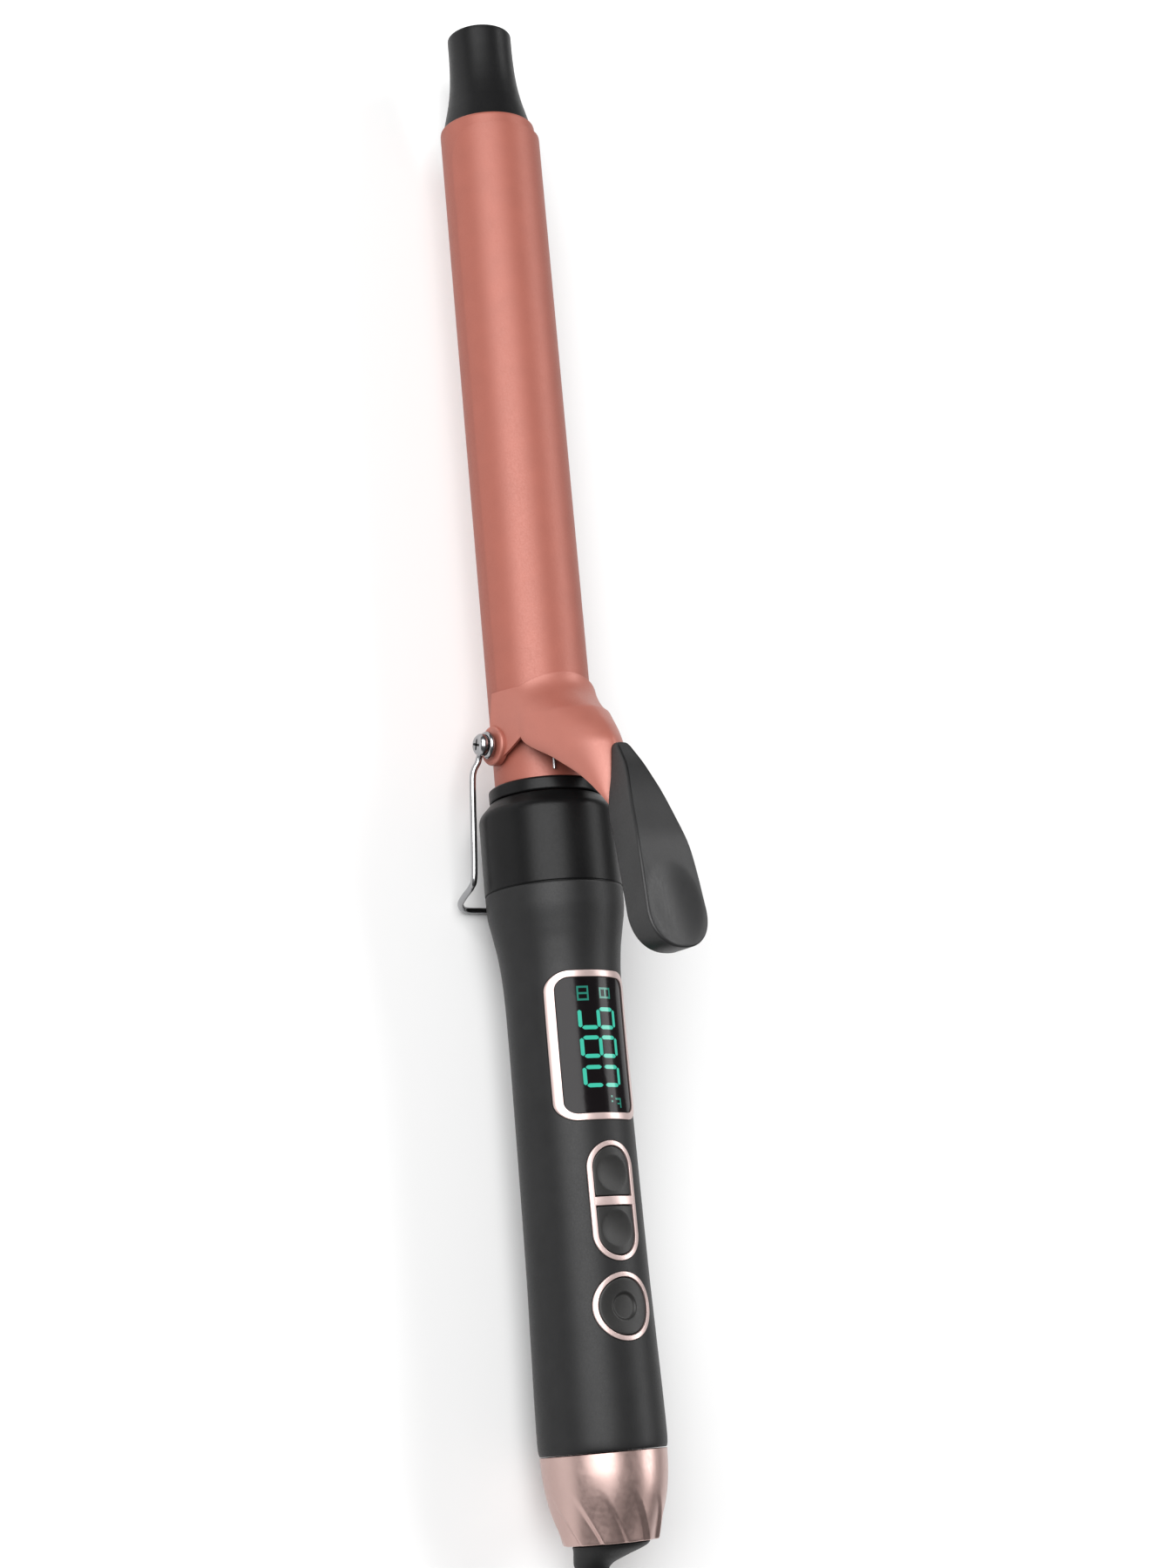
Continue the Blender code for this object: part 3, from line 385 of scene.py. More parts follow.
# Each finish: name, colour, roughness, grain, relief in mm, change of colour, metallic, specular
FINISHES = {
    "barrel": ("rose_ceramic", (0.32, 0.098, 0.068), 0.52, 2600, 0.004, 0.03, 0.25, 1.0),
    "bracket": ("rose_stamped", (0.37, 0.130, 0.097), 0.46, 2200, 0.004, 0.03, 0.25, 1.0),
    "tip": ("tip_plastic", (0.011, 0.011, 0.0115), 0.40, 1800, 0.008, 0.10, 0.0, 0.28),
    "collar": ("collar_plastic", (0.009, 0.009, 0.0093), 0.36, 1800, 0.006, 0.10, 0.0, 0.22),
    "lever": ("lever_plastic", (0.020, 0.020, 0.0205), 0.42, 1800, 0.008, 0.10, 0.0, 0.5),
    "sleeve": ("soft_touch", (0.018, 0.018, 0.0185), 0.46, 3000, 0.010, 0.10, 0.0, 0.36),
    "button": ("button_rubber", (0.026, 0.0255, 0.025), 0.42, 3000, 0.010, 0.10, 0.0, 0.4),
    "boot": ("boot_rubber", (0.016, 0.016, 0.0165), 0.52, 2400, 0.012, 0.10, 0.0, 0.4),
    "chrome": ("steel_wire", (0.40, 0.40, 0.41), 0.22, 1500, 0.001, 0.03, 1.0, 0.5),
    "bezel": ("rose_bezel", (0.60, 0.475, 0.455), 0.36, 1500, 0.001, 0.03, 0.55, 0.5),
    "cap": ("rose_mirror", (0.56, 0.415, 0.385), 0.38, 900, 0.0006, 0.03, 0.95, 0.5),
    "glass": ("display_glass", (0.010, 0.008, 0.009), 0.16, 900, 0.0004, 0.10, 0.0, 0.25),
    # painted shade: near-black finish for the shadow lines round the frames, the screws' cross recesses and
    # the floor under the buttons
    "dark": ("painted_shade_black", (0.006, 0.006, 0.006), 0.80, 900, 0.002, 0.10, 0.0, 0.5),
    "aluminium": ("cast_aluminium", (0.62, 0.62, 0.63), 0.42, 1200, 0.006, 0.05, 1.0, 0.5),
    "ceramic": ("fired_ceramic", (0.78, 0.75, 0.69), 0.55, 1500, 0.008, 0.05, 0.0, 0.5),
    "board": ("solder_mask", (0.015, 0.12, 0.05), 0.35, 1200, 0.004, 0.12, 0.0, 0.5),
    "brass": ("brass_contact", (0.70, 0.50, 0.20), 0.30, 1500, 0.002, 0.06, 1.0, 0.5),
    "frame": ("inner_plastic", (0.07, 0.07, 0.07), 0.60, 1500, 0.010, 0.10, 0.0, 0.5),
    "lead": ("glass_sleeve", (0.66, 0.63, 0.57), 0.75, 2500, 0.030, 0.08, 0.0, 0.5),
}


def make_finishes():
    """Every finish on the iron."""
    look = {key: varied(*row) for key, row in FINISHES.items()}
    look["digits"] = glowing("display_digits", (0.01, 0.10, 0.075), (0.09, 0.62, 0.46), 0.62)
    look["icons"] = glowing("display_icons", (0.01, 0.06, 0.05), (0.05, 0.34, 0.25), 0.45)
    return look


# ---------- barrel end


def build_barrel(look):
    """The barrel and its cool tip."""
    outline = softened(
        [
            (-22.0, 11.7, 0),
            (-22.0, BARREL_RADIUS, 0.1),
            (BARREL_FRONT, BARREL_RADIUS, 0.9),
            (BARREL_FRONT, 11.7, 0.2),
            (170.0, 11.7, 0),
        ],
        8,
    )
    barrel = turned("barrel_skin", outline, look["barrel"])
    dress(barrel, "handle", "rose_gold", "barrel_tube")

    flare = [
        (BARREL_FRONT + 0.2, 11.72),
        (184.0, 10.75),
        (188.0, 9.8),
        (193.0, 9.0),
        (198.0, 8.62),
        (203.0, 8.5),
        (TIP_END - 1.2, 8.5),
    ]
    outline = [(176.0, 11.4), (BARREL_FRONT + 0.2, 11.4)]
    outline += [(s, curve_value(flare, s)) for s in spaced(BARREL_FRONT + 0.2, TIP_END - 1.4, 40)]
    outline += softened([(TIP_END - 1.4, 8.5, 0), (TIP_END, 8.5, 1.35), (TIP_END, 6.0, 0)], 8)[1:]
    outline += [(TIP_END - 0.05, 3.0), (TIP_END - 0.05, 0.0001)]
    tip = turned("cool_tip_shell", outline, look["tip"])
    dress(tip, "handle", "satin_black", "cool_tip")


def build_collar(look):
    """The ring at the barrel's foot and the collar behind it, as (station, radius, softness)."""
    ring = [
        (0.0, 12.6, 0),
        (0.0, 13.5, 0.25),
        (-0.5, 14.25, 0.3),
        (-3.3, 14.25, 0.3),
        (-3.6, 13.7, 0.1),
        (-3.6, 12.6, 0),
    ]
    piece = turned("collar_ring_shell", softened(ring), look["collar"])
    dress(piece, "handle", "satin_black", "collar_ring")
    collar = [
        (-3.8, 12.7, 0),
        (-3.8, 14.1, 0.15),
        (-4.3, 14.5, 0.3),
        (-6.7, 16.75, 0.5),
        (-7.9, 17.3, 1.0),
        (COLLAR_REAR, 17.3, 0.4),
        (COLLAR_REAR, 17.0, 0.05),
        (COLLAR_REAR - 0.28, 16.95, 0.05),
        (COLLAR_REAR - 0.28, 15.4, 0),
    ]
    piece = turned("collar_shell", softened(collar, 7), look["collar"])
    dress(piece, "handle", "satin_black", "collar")


# ---------- handle


def plan(stations, half, corner, inset, across=14, around=12):
    """Outline of a rounded rectangle seen from above, moved inwards. across and around are the
    numbers of steps on its short sides and round each corner."""
    low, high = min(stations) + inset, max(stations) - inset
    wide = half - inset
    soft = max(corner - inset, 0.02)
    middles = [
        (high - soft, wide - soft, 0),
        (low + soft, wide - soft, 90),
        (low + soft, soft - wide, 180),
        (high - soft, soft - wide, 270),
    ]
    points = []
    for k, (s, y, first) in enumerate(middles):
        for turn in spaced(first, first + 90, around):
            angle = math.radians(turn)
            points.append((s + soft * math.cos(angle), y + soft * math.sin(angle)))
        following = middles[(k + 1) % 4]
        angle = math.radians(first + 90)
        start = points[-1]
        end = (following[0] + soft * math.cos(angle), following[1] + soft * math.sin(angle))
        steps = 20 if k % 2 == 0 else across
        for t in spaced(0, 1, steps)[1:-1] if steps else []:
            points.append((start[0] + (end[0] - start[0]) * t, start[1] + (end[1] - start[1]) * t))
    return points


def circle(station, radius):
    """A round outline seen from above."""
    return [(station + radius * math.cos(a), radius * math.sin(a)) for a in full_turn(96)]


def on_sleeve(s, y, height):
    """The point straight above (s, y) at a height over the sleeve's surface."""
    radius = sleeve_radius(s) + height
    return (s, y, math.sqrt(max(radius * radius - y * y, 0.01)))


def rounded_distance(s, y, stations, half, corner):
    """Distance outside a rounded rectangle seen from above, negative inside."""
    middle = (stations[0] + stations[1]) / 2
    length = abs(stations[1] - stations[0]) / 2
    ds, dy = abs(s - middle) - length + corner, abs(y) - half + corner
    outside = math.hypot(max(ds, 0.0), max(dy, 0.0))
    return outside + min(max(ds, dy), 0.0) - corner


def pocket_depth(s, y):
    """How far the sleeve is let down under the panels, hidden by their frames."""
    inside = min(
        rounded_distance(s, y, DISPLAY, DISPLAY_HALF, DISPLAY_CORNER) + DISPLAY_BAND * 0.5,
        rounded_distance(s, y, CAPSULE, CAPSULE_HALF, CAPSULE_HALF) + CAPSULE_BAND * 0.5,
        math.hypot(s - POWER, y) - POWER_RADIUS + POWER_BAND * 0.5,
    )
    return POCKET_DEPTH * smoothstep(0.35, -0.35, inside)


# What the first rings at the sleeve's front edge lack in radius
SLEEVE_LIP = (0.3, 0.1)
# Length of the rounding at the sleeve's rear edge, and how much radius it takes off
SLEEVE_ROUND = 0.9
SLEEVE_DROP = 0.28


def build_sleeve(look):
    """The soft sleeve, let down under its panels and rounded over at both ends."""
    stations = [-27.3, -27.35, -27.5, -28.0]
    stations += spaced(-29.0, -48.0, 26)
    stations += spaced(-48.6, -140.0, 190)
    stations += spaced(-141.0, -162.0, 24)
    stations += [-162.6, -163.0, -163.25, SLEEVE_REAR]
    rings = []
    for i, s in enumerate(stations):
        radius = sleeve_radius(s)
        if i < len(SLEEVE_LIP):
            radius -= SLEEVE_LIP[i]
        past = (SLEEVE_REAR + SLEEVE_ROUND - s) / SLEEVE_ROUND
        if past > 0:
            radius -= SLEEVE_DROP * (1 - math.sqrt(max(0.0, 1 - past * past)))
        ring = []
        for k in range(AROUND * 2):
            turn = math.pi * k / AROUND
            y, z = radius * math.sin(turn), radius * math.cos(turn)
            depth = pocket_depth(s, y) if z > 0 else 0.0
            ring.append(on_sleeve(s, y, -depth) if depth else (s, y, z))
        rings.append(ring)
    front_lip, rear_lip = ([(s, y * 0.9, z * 0.9) for s, y, z in ring] for ring in (rings[0], rings[-1]))
    sleeve = loft("sleeve_skin", [front_lip, *rings, rear_lip], look["sleeve"], caps=False)
    dress(sleeve, "handle", "soft_black", "handle_sleeve")


def frame_section(band):
    """Section of a raised frame as (inset, height): outer wall, rounded top, inner wall."""
    corners = [
        (0.0, -0.5, 0),
        (0.0, PROUD, FRAME_SOFT),
        (band, PROUD, FRAME_SOFT),
        (band, FRAME_FOOT, 0),
    ]
    return softened(corners, 5)


def painted_shadow_line(name, outline, look):
    """A thin near-black strip let into the sleeve round a frame, painted as the shadow line at the frame's
    edge.
    """
    rings = []
    for inset, height in ((0.0, 0.02), (0.02, 0.06), (0.4, 0.06), (0.4, -0.6)):
        rings.append([on_sleeve(s, y, height) for s, y in outline(inset - 0.16)])
    piece = loft(name, rings, look["dark"], caps=False)
    dress(piece, "handle", "satin_black")


def build_frame(name, node, outline, band, look):
    """A raised metal frame on the sleeve, with a painted shadow line round it. outline(inset) is its plan.
    """
    rings = []
    for inset, height in frame_section(band):
        rings.append([on_sleeve(s, y, height) for s, y in outline(inset)])
    piece = loft(f"{name}_frame", rings, look["bezel"], caps=False)
    dress(piece, "handle", "rose_chrome", node)
    painted_shadow_line(f"{name}_gasket", outline, look)


def build_display(look):
    """The display's frame, its glass, and what is lit on it."""

    def outline(inset):
        return plan(DISPLAY, DISPLAY_HALF, DISPLAY_CORNER, inset)

    build_frame("display", "display_bezel", outline, DISPLAY_BAND, look)

    rings = []
    insets = [DISPLAY_BAND - 0.02, DISPLAY_BAND + 0.12]
    insets += spaced(DISPLAY_BAND + 0.4, DISPLAY_HALF - 0.01, 10)
    for i, inset in enumerate(insets):
        height = -0.5 if i == 0 else 0.02
        rings.append([on_sleeve(s, y, height) for s, y in outline(inset)])
    window = loft("display_pane", rings, look["glass"], caps=False)
    dress(window, "handle", "display_glass", "display_window")
    build_digits(look)


def on_glass(s, across):
    """A point on the display, just proud of the glass; across is an arc length to the right, -Y."""
    radius = sleeve_radius(s) + 0.05
    turn = across / radius
    return (s, -radius * math.sin(turn), radius * math.cos(turn))


def glyph(name, shapes, finish):
    """Flat shapes laid on the display's glass; each is a convex outline of (station, across)."""
    points, faces = [], []
    for shape in shapes:
        low_s, high_s = min(p[0] for p in shape), max(p[0] for p in shape)
        low_a, high_a = min(p[1] for p in shape), max(p[1] for p in shape)
        long_way = 1 if high_a - low_a > high_s - low_s else 0
        low, high = ((low_s, high_s), (low_a, high_a))[long_way]
        slices = max(2, int((high - low) / 0.35))
        previous = None
        for t in spaced(low, high, slices):
            span = crossing(shape, long_way, t)
            if span is None:
                continue
            pair = [(t, v) if long_way == 0 else (v, t) for v in span]
            start = len(points)
            points += [on_glass(*p) for p in pair]
            if previous is not None:
                faces.append((previous, previous + 1, start + 1, start))
            previous = start
    return to_object(name, points, faces, finish)


def crossing(shape, way, at):
    """Where a convex outline is crossed by a line, as (low, high) of the other coordinate."""
    found = []
    for a, b in zip(shape, shape[1:] + shape[:1]):
        if min(a[way], b[way]) - 1e-9 <= at <= max(a[way], b[way]) + 1e-9:
            if abs(b[way] - a[way]) < 1e-9:
                found += [a[1 - way], b[1 - way]]
            else:
                t = (at - a[way]) / (b[way] - a[way])
                found.append(a[1 - way] + (b[1 - way] - a[1 - way]) * t)
    return (min(found), max(found)) if found else None


# Seven segments of a digit: a top, b and c right, d bottom, e and f left, g middle
SEGMENTS = {"0": "abcdef", "8": "abcdefg", "9": "abcdfg"}
SEGMENT_WIDTH = 1.0
SEGMENT_GAP = 0.34
DIGIT_HALF = 5.5
# Digit, and the stations of its left and right edges as the number reads
DIGITS = [("9", -58.5, -63.9), ("8", -65.4, -70.9), ("0", -72.6, -78.0)]


def segment_shapes(digit, front, rear):
    """Outlines of a digit's lit segments. The digit's top points to the right (+across)."""
    e, gap = SEGMENT_WIDTH / 2, SEGMENT_GAP
    bottom, top = -DIGIT_HALF, DIGIT_HALF

    def level(across):
        return [
            (front - gap - e * 0.4, across),
            (front - gap - e, across + e),
            (rear + gap + e, across + e),
            (rear + gap + e * 0.4, across),
            (rear + gap + e, across - e),
            (front - gap - e, across - e),
        ]

    def upright(station, low, high):
        return [
            (station, low + gap),
            (station + e, low + gap + e),
            (station + e, high - gap - e),
            (station, high - gap),
            (station - e, high - gap - e),
            (station - e, low + gap + e),
        ]

    parts = {
        "a": level(top - e),
        "d": level(bottom + e),
        "g": level(0.0),
        "f": upright(front - e, 0.0, top - e),
        "e": upright(front - e, bottom + e, 0.0),
        "b": upright(rear + e, 0.0, top - e),
        "c": upright(rear + e, bottom + e, 0.0),
    }
    return [parts[key] for key in SEGMENTS[digit]]


def bar(front, rear, low, high):
    """A straight stroke between two stations and two places across."""
    return [(front, low), (front, high), (rear, high), (rear, low)]


def build_digits(look):
    """The number on the display, and the small symbols above and below it."""
    shapes = []
    for digit, front, rear in DIGITS:
        shapes += segment_shapes(digit, front, rear)
    digits = glyph("display_number", shapes, look["digits"])
    dress(digits, "handle", "display_digits")
    wide_ladder = [bar(-53.2, -56.8, a, a + 0.45) for a in (-5.3, -2.7)]
    wide_ladder += [bar(s, s - 0.5, -5.3, -2.3) for s in (-53.2, -54.75, -56.3)]
    small_ladder = [bar(s, s - 0.5, 0.8, 4.4) for s in (-53.6, -55.8)]
    small_ladder += [bar(-53.6, -56.3, a, a + 0.5) for a in (0.8, 2.4, 3.9)]
    unit = [bar(-80.6, -83.0, 4.5, 5.0), bar(-80.6, -81.1, 3.0, 5.0), bar(-81.8, -82.2, 3.5, 5.0)]
    unit += [bar(s, s - 0.5, 1.6, 2.2) for s in (-80.0, -81.2)]
    icons = glyph("display_symbols", wide_ladder + small_ladder + unit, look["icons"])
    dress(icons, "handle", "display_digits")


def half_capsule(front):
    """Outline of one temperature button: straight at the crossbar, round at its end."""
    way = 1 if front else -1
    half = CAPSULE_HALF - CAPSULE_BAND - BUTTON_GAP
    end = (max(CAPSULE) if front else min(CAPSULE)) - way * (CAPSULE_BAND + BUTTON_GAP)
    centre = end - way * half
    edge = CROSSBAR + way * (CROSSBAR_WIDTH / 2 + BUTTON_GAP)
    soft = 0.5
    bend = edge + way * soft
    points = []
    for a in spaced(-RIGHT_ANGLE, RIGHT_ANGLE, 40):
        points.append((centre + way * half * math.cos(a), half * math.sin(a)))
    points += [(s, half) for s in spaced(centre, bend, 10)[1:]]
    for a in spaced(0, RIGHT_ANGLE, 5)[1:]:
        points.append((edge + way * soft * (1 - math.sin(a)), half - soft + soft * math.cos(a)))
    points += [(edge, y) for y in spaced(half - soft, soft - half, 24)[1:]]
    for a in spaced(0, RIGHT_ANGLE, 5)[1:]:
        points.append((edge + way * soft * (1 - math.cos(a)), soft - half - soft * math.sin(a)))
    points += [(s, -half) for s in spaced(bend, centre, 10)[1:-1]]
    return points


def build_button(name, outline, centre, hollow, look):
    """A push button that follows the sleeve; hollow gives its depth at a distance from its centre."""
    body = f"{name}_button"
    rise = BUTTON_RISE
    edge = [(1.0, BUTTON_FOOT), (1.0, rise - 0.25)]
    edge += [(0.992, rise - 0.1), (0.975, rise - 0.02), (0.955, rise)]
    face = [(share, rise) for share in spaced(0.94, 0.0, 36)]
    rings = []
    for share, height in edge + face:
        ring = []
        for s, y in outline:
            s, y = centre + (s - centre) * share, y * share
            depth = hollow(math.hypot(s - centre, y)) if share < 0.95 else 0.0
            ring.append(on_sleeve(s, y, height - depth))
        rings.append(ring)
    piece = loft(f"{name}_cap", rings, look["button"], caps=False, sharp=60)
    dress(piece, body, "soft_black", body)


def thumb_hollow(away):
    """A plain dish."""
    return 0.85 * max(0.0, 1 - (away / 4.4) ** 2) ** 1.2


def ringed_hollow(away):
    """A wide dish with a smaller, steeper one in its middle."""
    wide = 0.55 * max(0.0, 1 - (away / 6.3) ** 2) ** 1.2
    return wide + 0.4 * smoothstep(3.5, 2.7, away)


def build_crossbar(look):
    """The bar between the temperature buttons, on the sleeve's curve from frame to frame."""
    corners = [
        (-CROSSBAR_WIDTH / 2, FRAME_FOOT, 0),
        (-CROSSBAR_WIDTH / 2, PROUD - 0.02, FRAME_SOFT),
        (CROSSBAR_WIDTH / 2, PROUD - 0.02, FRAME_SOFT),
        (CROSSBAR_WIDTH / 2, FRAME_FOOT, 0),
    ]
    half = CAPSULE_HALF - CAPSULE_BAND * 0.6
    rings = []
    for offset, height in softened(corners):
        rings.append([on_sleeve(CROSSBAR + offset, y, height) for y in spaced(-half, half, 24)])
    piece = loft("temperature_crossbar", rings, look["bezel"], loop=False, caps=False)
    dress(piece, "handle", "rose_chrome")


def build_controls(look):
    """The temperature buttons and the power button, in their frames."""

    def capsule(inset):
        return plan(CAPSULE, CAPSULE_HALF, CAPSULE_HALF, inset, across=0, around=20)

    def power(inset):
        return circle(POWER, POWER_RADIUS - inset)

    build_frame("temperature", "temperature_bezel", capsule, CAPSULE_BAND, look)
    build_crossbar(look)
    build_frame("power", "power_bezel", power, POWER_BAND, look)
    front = (max(CAPSULE) - CAPSULE_BAND + CROSSBAR) / 2
    rear = (min(CAPSULE) + CAPSULE_BAND + CROSSBAR) / 2
    build_button("plus", half_capsule(True), front, thumb_hollow, look)
    build_button("minus", half_capsule(False), rear, thumb_hollow, look)
    build_button("power", power(POWER_BAND + BUTTON_GAP), POWER, ringed_hollow, look)


def build_well(look):
    """A near-black floor under the buttons, seen only through the gaps round them: painted shade for the
    gaps.
    """
    for name, outline, centre in (
        ("temperature_well", plan(CAPSULE, CAPSULE_HALF, CAPSULE_HALF, 0.9, across=0), sum(CAPSULE) / 2),
        ("power_well", circle(POWER, POWER_RADIUS - 0.9), POWER),
    ):
        rings = []
        for share in spaced(1, 0, 6):
            spots = [(centre + (s - centre) * share, y * share) for s, y in outline]
            rings.append([on_sleeve(s, y, -WELL_DEPTH) for s, y in spots])
        piece = loft(name, rings, look["dark"], caps=False)
        dress(piece, "handle", "satin_black")


# ---------- rear end


# The cap's radius, as (station, radius)
CAP_OUTLINE = [
    (-163.7, 15.3),
    (-168.0, 15.1),
    (-172.5, 14.55),
    (-177.0, 13.65),
    (-181.0, 12.55),
    (-183.8, 11.7),
]
CAP_FRONT = -163.6
CAP_SIDES = 288
FLUTES = 12
FLUTE_START = -171.0
FLUTE_DEPTH = 0.9
FLUTE_TURN = math.radians(18.4)
FLUTE_TWIST = math.radians(2.0)
FLUTE_RAMP = 0.82


def flute_depth(s, turn):
    """Depth of the shallow slanted flutes that run out at the cap's rear edge."""
    grow = smoothstep(FLUTE_START, CAP_REAR, s)
    turn_here = turn - FLUTE_TURN + FLUTE_TWIST * (s - CAP_REAR)
    phase = (turn_here * FLUTES / (2 * math.pi)) % 1.0
    ramp = phase / FLUTE_RAMP if phase < FLUTE_RAMP else (1 - phase) / (1 - FLUTE_RAMP)
    return FLUTE_DEPTH * grow * ramp


def build_cap(look):
    """The end cap, as a line of (station, radius) turned about the axis and fluted."""
    line = [(CAP_FRONT, 13.5), (CAP_FRONT - 0.05, 15.1)]
    line += [(s, curve_value(CAP_OUTLINE, s)) for s in spaced(CAP_FRONT - 0.1, -183.6, 44)]
    line += softened([(-183.6, 11.75, 0), (CAP_REAR, 11.5, 0.5), (CAP_REAR, 9.0, 0)], 6)
    line += [(CAP_REAR + 0.1, 5.0)]
    rings = []
    for s, radius in line:
        ring = []
        for turn in full_turn(CAP_SIDES):
            r = radius - flute_depth(s, turn) * smoothstep(9.0, 11.0, radius)
            ring.append((s, r * math.cos(turn), r * math.sin(turn)))
        rings.append(ring)
    piece = loft("end_cap_shell", rings, look["cap"], caps=False, sharp=50)
    dress(piece, "handle", "rose_chrome", "end_cap")


BOOT_OFFSET = 5.0
BOOT_TURN = math.radians(-35)
BOOT_SIDES = 72
BOOT_FRONT = -184.6
BOOT_END = -195.0
CORD_HOLE = 3.1
CORD_HOLE_FLOOR = -190.0
# The boot leaves the axis as it narrows: (station, radius, share of the whole offset)
BOOT_OUTLINE = [
    (BOOT_END, 3.9, 1.0),
    (-190.2, 4.0, 1.0),
    (-189.0, 4.7, 0.92),
    (-187.5, 6.4, 0.58),
    (-185.4, 8.9, 0.06),
    (-184.7, 9.3, 0.0),
]


def boot_ring(s, r, share):
    """A ring round the boot's own middle, which stands off the axis by a share of the offset."""
    side = BOOT_OFFSET * math.cos(BOOT_TURN) * share
    height = BOOT_OFFSET * math.sin(BOOT_TURN) * share
    return [(s, side + r * math.cos(a), height + r * math.sin(a)) for a in full_turn(BOOT_SIDES)]


def build_boot(look):
    """The swivel boot, open at its end for the cord."""
    radius = [(s, r) for s, r, _ in BOOT_OUTLINE]
    share = [(s, offset) for s, _, offset in BOOT_OUTLINE]
    rings = [boot_ring(BOOT_FRONT, 5.0, 0.0), boot_ring(BOOT_FRONT, 9.1, 0.0)]
    for s in spaced(BOOT_FRONT - 0.15, BOOT_END + 0.3, 36):
        rings.append(boot_ring(s, curve_value(radius, s), curve_value(share, s)))
    rings += [boot_ring(BOOT_END, 3.8, 1.0), boot_ring(BOOT_END, CORD_HOLE + 0.2, 1.0)]
    rings.append(boot_ring(BOOT_END + 0.2, CORD_HOLE, 1.0))
    rings += [boot_ring(CORD_HOLE_FLOOR, CORD_HOLE, 1.0), boot_ring(CORD_HOLE_FLOOR, 0.001, 1.0)]
    piece = loft("swivel_boot_shell", rings, look["boot"], caps=False)
    dress(piece, "cord_swivel", "satin_black", "swivel_boot")


# ---------- clamp


CLAMP_OUTER = 13.6
CLAMP_WRAP = math.radians(81)
KNEE_ANGLE = math.radians(50)
# The bracket's middle line, as (station, height)
RIDGE = [
    (26.3, 14.8),
    (23.5, 16.6),
    (18.0, 21.6),
    (13.0, 26.2),
    (8.5, 29.7),
    (4.0, 31.9),
    (-4.0, 32.9),
    (-13.3, 33.1),
]
# The line where the bracket's top turns into its side, as (station, side, height)
KNEE = [
    (26.3, 11.3, 9.5),
    (18.0, 13.0, 9.8),
    (9.8, 12.8, 10.3),
    (2.0, 9.2, 19.5),
    (-3.5, 6.4, 25.6),
    (-9.0, 4.2, 29.8),
    (-13.3, 2.6, 32.2),
]
CREASE_TOP = 26.3
CREASE_DIP = 3.3
NOTCH = 9.8
EAR_REAR = 5.3
ARM_END = -13.3
SADDLE_ROWS = 40
ARM_ROWS = 40
SIDE_SPREAD = 14.9
SHEET = 0.9


def grid(name, rows, finish, skip=None):
    """An open sheet from rows of points; skip(row, column) leaves a face out."""
    count = len(rows[0])
    points = [p for row in rows for p in row]
    faces = []
    for i in range(len(rows) - 1):
        for j in range(count - 1):
            if skip is None or not skip(i, j):
                a = i * count + j
                faces.append((a, a + 1, a + count + 1, a + count))
    return to_object(name, points, faces, finish, sharp=60.0)


def outwards(piece):
    """Turns a sheet's faces so that they look away from the barrel's axis."""
    mesh = piece.data
    total = 0.0
    for face in mesh.polygons:
        middle = face.center - Vector((face.center.x, 0.0, AXIS_Z))
        total += face.area * face.normal.dot(middle.normalized())
    if total < 0:
        mesh.flip_normals()


def build_plate(look):
    """The clamp's plate: a sheet curved round the barrel, with round front corners."""
    front, corner = 176.5, 9.0
    full = CLAMP_OUTER * CLAMP_WRAP
    stations = [21.5, 22.0] + spaced(24.0, front - corner, 30)
    stations += [front - corner + corner * math.sin(math.radians(a)) for a in spaced(0, 90, 18)[1:]]
    rows = []
    for s in stations:
        past = max(0.0, (s - front + corner) / corner)
        half = full - corner * (1 - math.sqrt(max(0.0, 1 - past * past)))
        turns = spaced(-half / CLAMP_OUTER, half / CLAMP_OUTER, 64)
        rows.append([(s, CLAMP_OUTER * math.sin(a), CLAMP_OUTER * math.cos(a)) for a in turns])
    plate = grid("clamp_plate_sheet", rows, look["barrel"])
    outwards(plate)
    modifier(plate, "SOLIDIFY", thickness=0.7 * MM, offset=-1.0, use_even_offset=True)
    modifier(plate, "BEVEL", width=0.28 * MM, segments=3, angle_limit=math.radians(50))
    applied(plate)
    dress(plate, "clamp", "rose_gold", "clamp_plate")


def bracket_point(s, share, side_part=0.0):
    """A point on the bracket's outer face. share runs from the ridge (0) to the knee (1);
    side_part then runs from the knee down to the hinge's height (1)."""
    knee_side = curve_value([(a, b) for a, b, _ in KNEE], s)
    knee_height = curve_value([(a, c) for a, _, c in KNEE], s)
    ridge = curve_value(RIDGE, s)
    round_share = curve_value([(15.0, 0.0), (CREASE_TOP, 1.0)], s)
    turn = RIGHT_ANGLE * share
    y = knee_side * math.sin(turn) ** 1.25
    z = knee_height + (ridge - knee_height) * max(0.0, math.cos(turn)) ** 1.25
    if side_part:
        y += (SIDE_SPREAD - y) * side_part
        z *= 1 - side_part
    arc = KNEE_ANGLE * share + (CLAMP_WRAP - KNEE_ANGLE) * side_part
    circle_y, circle_z = RIDGE[0][1] * math.sin(arc), RIDGE[0][1] * math.cos(arc)
    return y + (circle_y - y) * round_share, z + (circle_z - z) * round_share


def top_point(s, share):
    """A point on the bracket's top. share runs from the right knee (-1) to the left knee (1)."""
    y, z = bracket_point(s, abs(share))
    return (s, math.copysign(y, share), z)


def saddle_row(v, shares, parts):
    """A row across the bracket's saddle and down both sides; v runs from its front to the notch."""
    side = []
    front = CREASE_TOP - CREASE_DIP
    for part in parts:
        end = NOTCH + (EAR_REAR - NOTCH) * part
        s = front + (end - front) * v
        side.append((s, *bracket_point(s, 1.0, part)))
    top = []
    for share in shares:
        front = CREASE_TOP - CREASE_DIP * share * share
        top.append(top_point(front + (NOTCH - front) * v, share))
    return [(s, -y, z) for s, y, z in side] + top + side[::-1]


